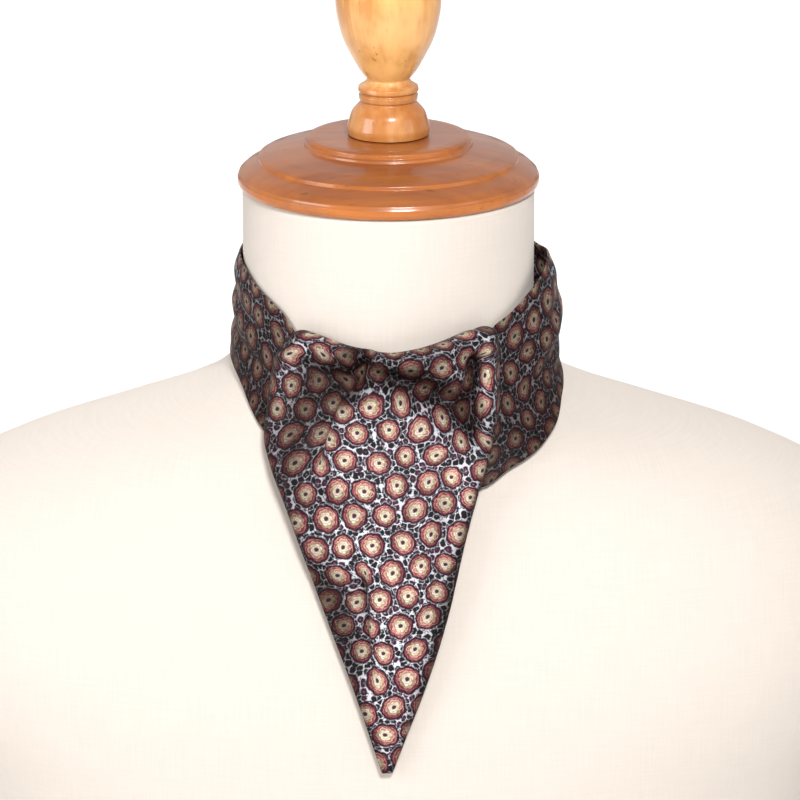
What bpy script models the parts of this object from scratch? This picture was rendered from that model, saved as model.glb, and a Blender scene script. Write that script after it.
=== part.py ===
"""A silk day cravat, tied over the neck of a linen covered bust form with a turned wooden cap.

Metres, +Z up. X runs to the form's right as seen from the front, the front faces -Y, and the
origin is the middle of the flat underside. Tables are in millimetres and degrees. A "drop" is
a distance below the neck's flat top, a "gap" or "rise" is a distance out from the linen.
"""

import math
from collections import namedtuple

import bmesh
import bpy
from mathutils import Vector

MM = 0.001
CLEARANCE = 0.3  # between pieces that lie against each other
NUDGE = 0.01  # step for working out which way the linen faces

# ---------------------------------------------------------------- driving sizes (mm)
NECK_TOP = 350.0  # height of the neck's flat top above the table
NECK_RADIUS = 62.0  # a 39 cm neck
SILK_WALL = 1.4  # the doubled silk of a cravat's blade
BAND_PLEATS = 3  # lengthwise pleats stitched down in the neck band
PLEAT_RISE = 1.5
SEAM_ANGLE = 112.0  # where the neck band is sewn to each stretch, from the front
CREST_DIP = 6.5  # how much lower the front blade's top fold hangs at its middle than at its corners
CREST_REACH = 38.0  # from the middle to where the fold is level with its corners
CREST_POWER = 1.5
RISER_LENGTH = 8.0  # how far the blade runs down again behind its fold
RISER_GAP = 1.8
ROLL_RISE = 2.6  # how far the fold stands above the rows where it begins and ends
RISER_GATHER = 0.22  # share of its width that the blade loses behind the fold
CURL_WIDTH = 4.6  # of the blade's two long edges, which roll back to the chest
CURL_SHARE = 0.25  # the most of the blade's width that one curl may take
CURL_TURN = 120.0
CURL_LEAST = 0.25  # share of that turn left where the blade comes to its tip
CURL_WHOLE_AT = 60.0  # width of blade at which its edges curl the whole way
TUCK_WIDTH = 2.6  # half the width that the blade's tuck takes to step up
TUCK_SHARPNESS = 2.2
TUCK_REACH = 3.9  # half the width over which the grid is drawn together at the tuck
TUCK_REACH_SHARE = 0.3  # the most of the blade's width that this may take
TUCK_MARGIN = 1.2  # least distance from tuck to curl, in reaches
TUCK_ROLL = 3.6  # how far the tuck's upper layer rolls over the lower one
TUCK_ROLL_MIDDLE = 0.35  # where it rolls furthest, and over what width, in tuck widths
TUCK_ROLL_WIDTH = 0.7

FormSection = namedtuple("FormSection", "drop half_width front back power")
FORM_SECTIONS = (
    FormSection(0.0, NECK_RADIUS, NECK_RADIUS, NECK_RADIUS, 2.0),
    FormSection(48.0, NECK_RADIUS, NECK_RADIUS, NECK_RADIUS, 2.0),
    FormSection(64.0, 63.2, 62.4, 63.6, 2.0),
    FormSection(76.0, 67.5, 63.2, 67.0, 2.0),
    FormSection(86.0, 79.0, 65.5, 72.0, 2.0),
    FormSection(95.0, 100.0, 68.6, 77.0, 2.05),
    FormSection(104.0, 129.0, 72.4, 81.5, 2.15),
    FormSection(116.0, 166.0, 78.6, 86.5, 2.25),
    FormSection(132.0, 196.0, 87.0, 92.0, 2.35),
    FormSection(155.0, 212.0, 97.5, 97.0, 2.45),
    FormSection(184.0, 215.0, 107.0, 102.0, 2.5),
    FormSection(215.0, 206.0, 113.5, 106.0, 2.45),
    FormSection(250.0, 190.0, 116.5, 107.0, 2.35),
    FormSection(300.0, 175.0, 115.0, 104.0, 2.3),
    FormSection(NECK_TOP, 168.0, 111.0, 100.0, 2.3),
)
FORM_RINGS = 35
FORM_SIDES = 48

TurnedPoint = namedtuple("TurnedPoint", "radius height")
CAP_PROFILE = (  # heights above the neck's top, from the middle of the lid out and down
    TurnedPoint(0.0, 21.6),
    TurnedPoint(29.0, 21.4),
    TurnedPoint(33.4, 21.1),
    TurnedPoint(34.5, 20.3),
    TurnedPoint(34.9, 18.4),
    TurnedPoint(36.6, 17.0),
    TurnedPoint(40.0, 16.7),
    TurnedPoint(48.0, 14.9),
    TurnedPoint(53.2, 13.1),
    TurnedPoint(55.0, 12.2),
    TurnedPoint(55.3, 10.6),
    TurnedPoint(57.6, 9.7),
    TurnedPoint(61.2, 7.7),
    TurnedPoint(63.6, 5.0),
    TurnedPoint(64.0, 3.0),
    TurnedPoint(63.4, 1.3),
    TurnedPoint(62.0, CLEARANCE),
    TurnedPoint(0.0, CLEARANCE),
)
FINIAL_FOOT = 21.6 + CLEARANCE
FINIAL_PROFILE = (
    TurnedPoint(0.0, 106.0),
    TurnedPoint(6.0, 105.2),
    TurnedPoint(12.5, 101.6),
    TurnedPoint(18.0, 95.4),
    TurnedPoint(21.2, 87.4),
    TurnedPoint(22.3, 78.0),
    TurnedPoint(21.5, 70.6),
    TurnedPoint(19.1, 62.8),
    TurnedPoint(15.3, 54.0),
    TurnedPoint(12.0, 49.4),
    TurnedPoint(9.3, 46.2),
    TurnedPoint(9.4, 44.8),
    TurnedPoint(12.7, 42.2),
    TurnedPoint(12.8, 40.9),
    TurnedPoint(11.8, 39.9),
    TurnedPoint(12.5, 38.6),
    TurnedPoint(12.3, 37.0),
    TurnedPoint(11.8, 36.2),
    TurnedPoint(14.8, 32.8),
    TurnedPoint(16.8, 28.4),
    TurnedPoint(17.5, 24.4),
    TurnedPoint(17.0, FINIAL_FOOT),
    TurnedPoint(0.0, FINIAL_FOOT),
)
CAP_SIDES = 48
FINIAL_SIDES = 32

StretchSection = namedtuple("StretchSection", "angle top low top_gap middle_gap low_gap")
RIGHT_STRETCH = (  # from the seam round the form's right to under the front blade
    StretchSection(SEAM_ANGLE, 29.0, 72.0, 1.2, 2.4, 2.0),
    StretchSection(100.0, 29.0, 74.0, 2.4, 6.2, 3.0),
    StretchSection(90.0, 29.5, 77.0, 5.8, 10.6, 4.5),
    StretchSection(78.0, 33.5, 82.0, 5.6, 11.2, 4.8),
    StretchSection(65.0, 39.5, 88.0, 3.8, 9.4, 4.4),
    StretchSection(52.0, 46.0, 96.0, 2.4, 5.6, 3.8),
    StretchSection(43.0, 50.0, 102.0, 2.0, 4.0, 3.6),
    StretchSection(36.0, 61.5, 106.0, 2.4, 3.7, 3.7),
    StretchSection(28.0, 67.0, 112.0, 3.2, 3.7, 3.7),
    StretchSection(10.0, 69.0, 117.0, 3.7, 3.7, 3.7),
    StretchSection(-16.0, 71.0, 116.0, 3.7, 3.7, 3.7),
)
LEFT_STRETCH = (  # from the seam round the form's left to under the right stretch
    StretchSection(-SEAM_ANGLE, 29.0, 72.0, 1.2, 2.4, 2.0),
    StretchSection(-90.0, 29.0, 72.0, 1.1, 3.4, 2.2),
    StretchSection(-75.0, 31.5, 75.0, 1.2, 3.6, 2.2),
    StretchSection(-60.0, 37.0, 81.0, 1.3, 3.2, 2.0),
    StretchSection(-45.0, 43.6, 91.0, 1.4, 2.4, 1.6),
    StretchSection(-38.0, 51.0, 96.0, 1.4, 1.8, 1.5),
    StretchSection(-30.0, 63.0, 102.0, 1.4, 1.4, 1.4),
    StretchSection(-12.0, 68.0, 110.0, 1.4, 1.4, 1.4),
    StretchSection(10.0, 70.0, 112.0, 1.4, 1.4, 1.4),
)
NECK_BAND = (  # round the nape
    StretchSection(SEAM_ANGLE, 29.0, 72.0, 1.2, 2.4, 2.0),
    StretchSection(145.0, 26.5, 69.0, 1.2, 1.8, 1.6),
    StretchSection(180.0, 25.5, 68.0, 1.2, 1.6, 1.6),
    StretchSection(215.0, 26.5, 69.0, 1.2, 1.8, 1.6),
    StretchSection(360.0 - SEAM_ANGLE, 29.0, 72.0, 1.2, 2.4, 2.0),
)
SEAM_TURN = 0.16  # degrees that each piece stops short of the seam, half the clearance
PLEATS_OPEN_AT = 40.0  # from the front, where the band's pleats have opened out

BladeSection = namedtuple("BladeSection", "drop left right rise bow edge_gap")
FRONT_BLADE = (  # bow is the radius of the blade's curve across the chest
    BladeSection(51.5, -40.5, 45.2, 10.0, 72.0, 7.0),
    BladeSection(57.5, -44.9, 46.0, 13.0, 74.0, 7.2),
    BladeSection(63.0, -47.7, 46.2, 14.4, 76.0, 7.3),
    BladeSection(75.0, -49.6, 46.2, 16.6, 80.0, 7.4),
    BladeSection(84.0, -50.8, 45.4, 18.0, 86.0, 7.3),
    BladeSection(92.0, -51.6, 43.6, 18.6, 94.0, 7.0),
    BladeSection(100.0, -49.4, 41.0, 18.2, 104.0, 6.6),
    BladeSection(114.0, -43.4, 36.2, 16.4, 125.0, 6.0),
    BladeSection(129.0, -37.2, 31.8, 13.6, 150.0, 5.3),
    BladeSection(159.0, -25.2, 24.3, 9.8, 190.0, 4.4),
    BladeSection(187.0, -14.4, 15.2, 6.9, 230.0, 3.8),
    BladeSection(210.0, -6.5, 6.2, 4.6, 260.0, 3.5),
    BladeSection(222.0, -2.5, 1.7, 3.6, 260.0, 3.4),
)
TuckSection = namedtuple("TuckSection", "drop across step overlap")
TUCK = (  # the line where the middle of the blade laps over its left side, and how far it stands over it
    TuckSection(48.0, -6.0, 0.0, 0.0),
    TuckSection(56.0, -7.5, 2.3, 0.15),
    TuckSection(62.0, -10.5, 4.8, 0.6),
    TuckSection(67.0, -14.0, 6.2, 1.1),
    TuckSection(75.0, -18.0, 6.6, 1.15),
    TuckSection(84.0, -21.0, 6.4, 1.1),
    TuckSection(95.0, -25.5, 4.6, 0.6),
    TuckSection(108.0, -32.0, 0.0, 0.0),
    TuckSection(120.0, -18.0, 0.0, 0.0),
    TuckSection(130.0, -8.5, 0.0, 0.0),
    TuckSection(146.0, -7.2, 3.4, 0.3),
    TuckSection(165.0, -6.2, 3.4, 0.3),
    TuckSection(190.0, -3.6, 1.4, 0.0),
    TuckSection(222.0, -0.4, 0.0, 0.0),
)

FoldPoint = namedtuple("FoldPoint", "drop across width rise")
BLADE_FOLDS = {  # soft ridges (rise over 0) and hollows along paths on the face
    "pocket": (
        FoldPoint(55.0, -7.0, 2.8, -1.4),
        FoldPoint(59.0, -9.5, 3.6, -4.8),
        FoldPoint(63.5, -13.0, 3.6, -4.2),
        FoldPoint(68.0, -16.5, 3.2, -2.2),
        FoldPoint(75.0, -20.5, 3.0, -1.8),
        FoldPoint(84.0, -25.0, 3.0, -2.0),
        FoldPoint(94.0, -30.0, 2.8, -1.0),
        FoldPoint(103.0, -34.0, 2.6, 0.0),
    ),
    "left top roll": (
        FoldPoint(54.0, -40.0, 3.2, 0.6),
        FoldPoint(54.5, -30.0, 3.6, 2.2),
        FoldPoint(57.5, -20.0, 3.4, 2.6),
        FoldPoint(60.5, -14.5, 2.6, 1.2),
    ),
    "under the left roll": (
        FoldPoint(60.0, -39.0, 3.6, -0.8),
        FoldPoint(63.5, -29.0, 4.4, -3.0),
        FoldPoint(69.0, -21.5, 3.8, -2.6),
        FoldPoint(80.0, -26.0, 3.2, 0.0),
    ),
    "left crown": (
        FoldPoint(62.0, -42.0, 5.0, 0.8),
        FoldPoint(76.0, -38.0, 7.0, 2.8),
        FoldPoint(94.0, -40.0, 6.5, 2.4),
        FoldPoint(114.0, -38.0, 5.0, 0.0),
    ),
    "slant hollow": (
        FoldPoint(62.0, -7.0, 4.0, -3.4),
        FoldPoint(65.0, -1.0, 5.6, -8.4),
        FoldPoint(68.5, 9.0, 6.2, -9.2),
        FoldPoint(73.0, 20.0, 6.2, -9.4),
        FoldPoint(79.5, 28.5, 5.4, -7.6),
        FoldPoint(87.0, 36.0, 4.0, -2.6),
    ),
    "right hollow": (
        FoldPoint(57.0, 34.0, 3.0, -4.2),
        FoldPoint(60.5, 35.0, 3.9, -10.6),
        FoldPoint(67.0, 35.0, 4.1, -10.2),
        FoldPoint(76.0, 34.0, 4.0, -7.0),
        FoldPoint(85.0, 34.0, 3.6, -4.8),
        FoldPoint(95.0, 35.0, 3.0, 0.0),
    ),
    "right ridge": (
        FoldPoint(54.0, 41.2, 2.4, 1.2),
        FoldPoint(62.0, 41.6, 2.6, 3.6),
        FoldPoint(76.0, 41.6, 2.6, 3.6),
        FoldPoint(90.0, 39.4, 2.8, 2.8),
        FoldPoint(112.0, 32.4, 3.0, 0.0),
    ),
    "top roll": (
        FoldPoint(59.5, -2.0, 3.2, 0.8),
        FoldPoint(58.2, 8.0, 3.6, 2.2),
        FoldPoint(55.6, 20.0, 3.8, 3.4),
        FoldPoint(53.6, 29.0, 3.2, 3.2),
        FoldPoint(53.0, 36.0, 2.8, 1.2),
    ),
    "middle crown": (
        FoldPoint(69.0, -13.0, 4.0, 1.6),
        FoldPoint(73.0, -3.0, 5.6, 2.6),
        FoldPoint(80.0, 9.0, 6.8, 2.8),
        FoldPoint(89.0, 20.5, 7.0, 2.8),
        FoldPoint(98.0, 29.0, 5.4, 1.6),
        FoldPoint(108.0, 32.0, 4.0, 0.0),
    ),
    "long crown": (
        FoldPoint(88.0, -12.0, 9.0, 0.0),
        FoldPoint(108.0, -4.0, 11.0, 1.8),
        FoldPoint(134.0, 8.0, 9.0, 1.8),
        FoldPoint(168.0, 6.0, 6.0, 1.0),
        FoldPoint(200.0, 2.0, 4.0, 0.0),
    ),
    "right slope": (
        FoldPoint(98.0, 25.0, 4.0, 0.0),
        FoldPoint(120.0, 22.0, 4.2, -1.8),
        FoldPoint(146.0, 17.5, 4.0, -1.6),
        FoldPoint(184.0, 9.0, 3.0, 0.0),
    ),
}
PATH_STEPS = 12  # places looked at between two points of a fold's path
UnderSection = namedtuple("UnderSection", "drop left right")
UNDER_BLADE = (  # lies on the chest behind the front blade, its edges just inside the blade's
    UnderSection(119.0, -31.0, 30.0),
    UnderSection(128.0, -27.0, 28.8),
    UnderSection(140.0, -23.5, 26.4),
    UnderSection(158.0, -18.5, 21.6),
    UnderSection(178.0, -12.0, 14.4),
    UnderSection(198.0, -3.5, 5.5),
)
UNDER_GAP = 1.3

# columns and rows of each wall's grid
STRETCH_COLUMNS_PER_DEGREE = 0.19
STRETCH_ROWS = 13
CURL_COLUMNS = 3
LEFT_COLUMNS = 6
TUCK_COLUMNS = 8
RIGHT_COLUMNS = 17
RISER_ROWS = 2
ROLL_ROWS = 4
UPPER_ROWS = 20  # of the front blade, close together where its folds are
LOWER_ROWS = 14
UPPER_END = 112.0  # drop at which the lower rows begin
UNDER_COLUMNS = 10
UNDER_ROWS = 10

LINEN = (0.83, 0.76, 0.66)
CAP_WOOD = (0.56, 0.24, 0.09)
FINIAL_WOOD = (0.80, 0.47, 0.18)
SILK = (0.24, 0.13, 0.12)


# ---------------------------------------------------------------- reading the tables
def read(rows, at):
    """The other columns of a table at a value of its first column, on a curve that never overshoots."""
    places = [row[0] for row in rows]
    at = min(max(at, places[0]), places[-1])
    last = len(rows) - 2
    first = min(sum(1 for value in places[1:-1] if value <= at), last)
    length = places[first + 1] - places[first]
    share = (at - places[first]) / length
    found = []
    for column in range(1, len(rows[0])):
        steps = [
            (rows[i + 1][column] - rows[i][column]) / (places[i + 1] - places[i])
            for i in range(max(first - 1, 0), min(first + 2, last + 1))
        ]
        here = steps[1] if first > 0 else steps[0]
        start = gentle(steps[0], here) if first > 0 else here
        end = gentle(here, steps[-1]) if first < last else here
        low, high = rows[first][column], rows[first + 1][column]
        found.append(
            (2 * share**3 - 3 * share**2 + 1) * low
            + (share**3 - 2 * share**2 + share) * length * start
            + (3 * share**2 - 2 * share**3) * high
            + (share**3 - share**2) * length * end
        )
    return found


def gentle(one, other):
    """The slope at a table row between two spans: none where the curve turns."""
    return 2 * one * other / (one + other) if one * other > 0 else 0.0


def ease(share):
    share = min(max(share, 0.0), 1.0)
    return share * share * (3 - 2 * share)


def mix(low, high, share):
    return low + (high - low) * share


# ---------------------------------------------------------------- the form's surface
def form_front(across, drop):
    """How far the linen stands forward of the neck's axis, at a place seen from the front."""
    half_width, front, _, power = read(FORM_SECTIONS, drop)
    left_over = max(1 - abs(across / half_width) ** power, 0.0)
    return front * left_over ** (1 / power)


def form_radius(angle, drop):
    half_width, front, back, power = read(FORM_SECTIONS, drop)
    side, ahead = math.sin(angle), math.cos(angle)
    depth = front if ahead > 0 else back
    return (abs(side / half_width) ** power + abs(ahead / depth) ** power) ** (-1 / power)


def place(across, forward, drop):
    return Vector((across, -forward, NECK_TOP - drop)) * MM


def form_point(angle, drop):
    radius = form_radius(angle, drop)
    return place(radius * math.sin(angle), radius * math.cos(angle), drop)


def off_form(angle, drop, gap):
    """A point this far out from the linen, square to it."""
    here = form_point(angle, drop)
    along = form_point(angle + NUDGE, drop) - here
    down = form_point(angle, drop + NUDGE) - here
    return here + down.cross(along).normalized() * gap * MM


# ---------------------------------------------------------------- the cloth's surfaces
def stretch_point(rows, turn, down):
    """A point of the band or a stretch: turn runs along it in degrees, down from its top edge."""
    ordered = sorted(rows)
    top, low, top_gap, middle_gap, low_gap = read(ordered, turn)
    gap = read(((0.0, top_gap), (0.5, middle_gap), (1.0, low_gap)), down)[0]
    from_front = min(abs(turn), 360 - abs(turn))
    closed = ease((from_front - PLEATS_OPEN_AT) / (SEAM_ANGLE - PLEATS_OPEN_AT))
    gap += PLEAT_RISE * closed * math.sin(math.pi * BAND_PLEATS * down) ** 2
    drop = mix(top, low, down)
    angle = math.radians(turn)
    return off_form(angle, drop, gap)


def crest_dip(across):
    """How much lower the blade's top fold hangs here than at its corners."""
    return CREST_DIP * max(1 - abs(across / CREST_REACH) ** CREST_POWER, 0.0)


def fold_lines():
    """Each fold's path as close places along it."""
    lines = []
    for path in BLADE_FOLDS.values():
        stops = [(i, *point) for i, point in enumerate(path)]
        steps = PATH_STEPS * (len(path) - 1)
        lines.append([read(stops, i / PATH_STEPS) for i in range(steps + 1)])
    return lines


def fold_rise(across, drop):
    """All the blade's soft ridges and hollows at one place, each from the nearest place of its path."""
    total = 0.0
    for line in FOLD_LINES:
        square, rise = min(
            (((drop - low) ** 2 + (across - aside) ** 2) / width**2, rise) for low, aside, width, rise in line
        )
        total += rise * math.exp(-square)
    return total


FOLD_LINES = fold_lines()


def blade_forward(across, drop, before_tuck):
    """The front blade's distance ahead of the neck's axis. before_tuck is 1 left of the tuck, 0 right of it."""
    _, _, rise, bow, _ = read(FRONT_BLADE, drop)
    front = read(FORM_SECTIONS, drop)[1]
    step = read(TUCK, drop)[1]
    return front + rise - across * across / (2 * bow) + fold_rise(across, drop) - step * before_tuck


def blade_columns():
    """The blade's columns as (curl, side, share): which edge roll, if any, and how far across."""
    curls = [i / CURL_COLUMNS for i in range(CURL_COLUMNS, 0, -1)]
    columns = [("left curl", share) for share in curls]
    columns += [("left", i / LEFT_COLUMNS) for i in range(LEFT_COLUMNS)]
    columns += [("tuck", i / TUCK_COLUMNS) for i in range(TUCK_COLUMNS)]
    columns += [("right", i / RIGHT_COLUMNS) for i in range(RIGHT_COLUMNS + 1)]
    columns += [("right curl", share) for share in reversed(curls)]
    return columns


def blade_point(column, drop, crest_share):
    """A point of the front blade's face. crest_share is 1 where its rows follow the fold's dip."""
    part, share = column
    left, right, _, _, edge_gap = read(FRONT_BLADE, drop)
    curl = min(CURL_WIDTH, CURL_SHARE * (right - left))
    inner_left, inner_right = left + curl, right - curl
    tuck, _, overlap = read(TUCK, drop)
    reach = min(TUCK_REACH, TUCK_REACH_SHARE * (inner_right - inner_left))
    tuck = min(max(tuck, inner_left + TUCK_MARGIN * reach), inner_right - TUCK_MARGIN * reach)
    flat = {
        "left curl": inner_left,
        "left": mix(inner_left, tuck - reach, share),
        "tuck": mix(tuck - reach, tuck + reach, share),
        "right": mix(tuck + reach, inner_right, share),
        "right curl": inner_right,
    }[part]
    low = drop + crest_share * crest_dip(flat)
    aside = (flat - tuck) / TUCK_WIDTH
    before_tuck = (1 - math.tanh(TUCK_SHARPNESS * aside)) / 2
    rolled = math.exp(-(((aside - TUCK_ROLL_MIDDLE) / TUCK_ROLL_WIDTH) ** 2))
    across = flat - TUCK_ROLL * overlap * rolled
    forward = blade_forward(flat, low, before_tuck)
    if "curl" in part:
        whole = math.radians(CURL_TURN) * mix(CURL_LEAST, 1.0, min((right - left) / CURL_WHOLE_AT, 1.0))
        turn = whole * share
        outward = -1 if part == "left curl" else 1
        across = flat + outward * curl * math.sin(turn) / math.sin(min(whole, math.pi / 2))
        back = form_front(across, low) + edge_gap
        forward = mix(forward, back, (1 - math.cos(turn)) / (1 - math.cos(whole)))
    return across, forward, low


def front_blade_points():
    """Rows of points: up behind the fold, over it, and down the face to the tip."""
    columns = blade_columns()
    first = FRONT_BLADE[0].drop
    last = FRONT_BLADE[-1].drop
    crest = [blade_point(column, first, 1.0) for column in columns]
    rows = []
    for step in range(RISER_ROWS + ROLL_ROWS):
        climb = min(step / RISER_ROWS, 1.0)
        turn = math.pi * max(step - RISER_ROWS, 0) / ROLL_ROWS
        behind = (1 + math.cos(turn)) / 2
        row = []
        for (part, share), (across, forward, low) in zip(columns, crest):
            outward = {"left curl": -1, "right curl": 1}.get(part, 0)
            edge = FRONT_BLADE[0].left if outward < 0 else FRONT_BLADE[0].right
            unrolled = edge + outward * CURL_WIDTH * (share - 1) if outward else across
            narrowed = mix(across, unrolled * (1 - RISER_GATHER), behind)
            back = form_front(narrowed, low) + RISER_GAP
            drop = low + RISER_LENGTH * (1 - climb) - ROLL_RISE * math.sin(turn)
            row.append(place(narrowed, mix(forward, back, behind), drop))
        rows.append(row)
    drops = [mix(first, UPPER_END, i / UPPER_ROWS) for i in range(UPPER_ROWS)]
    drops += [mix(UPPER_END, last, i / LOWER_ROWS) for i in range(LOWER_ROWS + 1)]
    for drop in drops:
        crest_share = 1 - ease((drop - first) / (2 * CREST_REACH))
        rows.append([place(*blade_point(column, drop, crest_share)) for column in columns])
    return rows


def under_blade_points():
    rows = []
    for step in range(UNDER_ROWS + 1):
        drop = mix(UNDER_BLADE[0].drop, UNDER_BLADE[-1].drop, step / UNDER_ROWS)
        left, right = read(UNDER_BLADE, drop)
        spots = [mix(left, right, i / UNDER_COLUMNS) for i in range(UNDER_COLUMNS + 1)]
        rows.append([place(spot, form_front(spot, drop) + UNDER_GAP, drop) for spot in spots])
    return rows


def stretch_points(rows):
    """The wall of the band or a stretch, a little short of the seam at SEAM_ANGLE."""
    turns = sorted(row.angle for row in rows)
    start, end = turns[0], turns[-1]
    start += SEAM_TURN if abs(abs(start) - SEAM_ANGLE) < 1 else 0
    end -= SEAM_TURN if end >= SEAM_ANGLE else 0
    columns = round((end - start) * STRETCH_COLUMNS_PER_DEGREE)
    return [
        [stretch_point(rows, mix(start, end, i / columns), row / STRETCH_ROWS) for i in range(columns + 1)]
        for row in range(STRETCH_ROWS + 1)
    ]


# ---------------------------------------------------------------- making the objects
def material(name, colour, roughness):
    made = bpy.data.materials.new(name)
    made.use_nodes = True
    shader = made.node_tree.nodes["Principled BSDF"]
    shader.inputs["Base Color"].default_value = (*colour, 1.0)
    shader.inputs["Roughness"].default_value = roughness
    shader.inputs["Metallic"].default_value = 0.0
    return made


def add_object(name, mesh, finish, collection):
    made = bpy.data.objects.new(name, mesh)
    mesh.materials.append(finish)
    collection.objects.link(made)
    return made


def add_wall(name, points, finish, collection):
    """A sheet laid through rows of points, with the silk's thickness on both sides of them."""
    across, down = len(points[0]), len(points)
    sheet = bmesh.new()
    bmesh.ops.create_grid(sheet, x_segments=across - 1, y_segments=down - 1, size=1.0)
    for corner in sheet.verts:
        column = round((corner.co.x + 1) / 2 * (across - 1))
        row = round((1 - corner.co.y) / 2 * (down - 1))
        corner.co = points[row][column]
    mesh = bpy.data.meshes.new(name)
    sheet.to_mesh(mesh)
    sheet.free()
    mesh.shade_smooth()
    made = add_object(name, mesh, finish, collection)
    wall = made.modifiers.new("silk wall", "SOLIDIFY")
    wall.thickness = SILK_WALL * MM
    wall.offset = 0.0
    wall.use_quality_normals = True
    return made


def add_turned(name, profile, sides, finish, collection):
    """A turned piece: its outline spun round the neck's axis."""
    outline = bmesh.new()
    corners = [outline.verts.new((point.radius * MM, 0.0, point.height * MM)) for point in profile]
    for one, other in zip(corners, corners[1:]):
        outline.edges.new((one, other))
    mesh = bpy.data.meshes.new(name)
    outline.to_mesh(mesh)
    outline.free()
    made = add_object(name, mesh, finish, collection)
    made.location.z = NECK_TOP * MM
    turn = made.modifiers.new("lathe", "SCREW")
    turn.steps = sides
    turn.render_steps = sides
    turn.use_merge_vertices = True
    turn.merge_threshold = 1e-5
    turn.use_smooth_shade = True
    return made


def add_form_bust(finish, collection):
    """Neck, shoulders and chest as one loft through level sections, flat above and below."""
    body = bmesh.new()
    rings = []
    for level in range(FORM_RINGS + 1):
        drop = mix(0.0, NECK_TOP, level / FORM_RINGS)
        ring = []
        for side in range(FORM_SIDES):
            angle = 2 * math.pi * side / FORM_SIDES
            ring.append(body.verts.new(form_point(angle, drop)))
        rings.append(ring)
    for upper, lower in zip(rings, rings[1:]):
        for side in range(FORM_SIDES):
            after = (side + 1) % FORM_SIDES
            body.faces.new((upper[side], lower[side], lower[after], upper[after]))
    body.faces.new(rings[0])
    body.faces.new(reversed(rings[-1]))
    bmesh.ops.recalc_face_normals(body, faces=body.faces)
    mesh = bpy.data.meshes.new("form_bust")
    body.to_mesh(mesh)
    body.free()
    mesh.shade_smooth()
    return add_object("form_bust", mesh, finish, collection)


def main():
    for old in list(bpy.data.objects):
        bpy.data.objects.remove(old, do_unlink=True)
    collection = bpy.data.collections.new("silk cravat on a dress form")
    bpy.context.scene.collection.children.link(collection)
    silk = material("silk", SILK, 0.45)
    add_form_bust(material("linen", LINEN, 0.9), collection)
    add_turned("cap", CAP_PROFILE, CAP_SIDES, material("cap_wood", CAP_WOOD, 0.22), collection)
    add_turned("finial", FINIAL_PROFILE, FINIAL_SIDES, material("finial_wood", FINIAL_WOOD, 0.25), collection)
    add_wall("neck_band", stretch_points(NECK_BAND), silk, collection)
    add_wall("left_stretch", stretch_points(LEFT_STRETCH), silk, collection)
    add_wall("right_stretch", stretch_points(RIGHT_STRETCH), silk, collection)
    add_wall("under_blade", under_blade_points(), silk, collection)
    add_wall("front_blade", front_blade_points(), silk, collection)


main()
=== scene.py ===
"""Finishes a silk day cravat on its linen bust form, with a turned wooden cap and finial.

Metres, +Z up, and the front faces -Y. Tables are in millimetres and degrees, as a pattern cutter
and a turner would write them. A "drop" is a distance below the neck's flat top, a "gap" or "rise"
is a distance out from the linen.
"""

import math
from collections import namedtuple

import bmesh
import bpy
import numpy as np
from bpy.props import FloatProperty, FloatVectorProperty, PointerProperty
from mathutils import Matrix, Vector, noise


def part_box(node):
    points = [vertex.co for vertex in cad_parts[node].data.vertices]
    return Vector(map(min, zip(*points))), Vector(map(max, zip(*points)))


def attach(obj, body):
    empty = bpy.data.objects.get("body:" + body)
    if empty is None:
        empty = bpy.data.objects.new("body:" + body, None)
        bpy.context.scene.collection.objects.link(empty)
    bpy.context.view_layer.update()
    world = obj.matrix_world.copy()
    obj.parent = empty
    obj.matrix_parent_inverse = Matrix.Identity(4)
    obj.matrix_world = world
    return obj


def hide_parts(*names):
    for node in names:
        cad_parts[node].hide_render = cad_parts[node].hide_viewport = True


bl_info = {
    "name": "Silk cravat on a dress form",
    "version": (1, 0, 0),
    "blender": (4, 5, 0),
    "location": "View3D > Sidebar > Cravat",
    "description": "Makes a printed silk cravat, the linen bust form that wears it and its wooden cap",
    "category": "Object",
}

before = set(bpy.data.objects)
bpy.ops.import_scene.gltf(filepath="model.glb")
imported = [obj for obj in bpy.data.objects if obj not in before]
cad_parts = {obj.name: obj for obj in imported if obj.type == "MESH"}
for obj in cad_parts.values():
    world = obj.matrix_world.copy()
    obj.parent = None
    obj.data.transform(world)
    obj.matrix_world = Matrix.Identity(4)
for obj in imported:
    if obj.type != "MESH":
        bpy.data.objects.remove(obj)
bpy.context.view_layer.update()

MM = 0.001
BODY = "root"
NECK_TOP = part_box("form_bust")[1].z / MM
NECK_RADIUS = 62.0
NUDGE = 0.01  # step for working out which way the linen faces
SAME_PLACE = 1e-6  # metres within which two points are one


def table(columns, *rows):
    """Rows of a table with named columns."""
    named = namedtuple("Row", columns)
    return tuple(named(*row) for row in rows)


# ------ the form, as in its solid
FORM_SECTIONS = table(
    "drop half_width front back power",
    (0, NECK_RADIUS, NECK_RADIUS, NECK_RADIUS, 2), (48, NECK_RADIUS, NECK_RADIUS, NECK_RADIUS, 2),
    (64, 63.2, 62.4, 63.6, 2), (76, 67.5, 63.2, 67, 2), (86, 79, 65.5, 72, 2), (95, 100, 68.6, 77, 2.05),
    (104, 129, 72.4, 81.5, 2.15), (116, 166, 78.6, 86.5, 2.25), (132, 196, 87, 92, 2.35),
    (155, 212, 97.5, 97, 2.45), (184, 215, 107, 102, 2.5), (215, 206, 113.5, 106, 2.45),
    (250, 190, 116.5, 107, 2.35), (300, 175, 115, 104, 2.3), (NECK_TOP, 168, 111, 100, 2.3),
)
HEM_RADIUS = 3.0  # of the form's bottom edge, where the linen turns under
FORM_SIDES = 168
FORM_RINGS = 132

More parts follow.
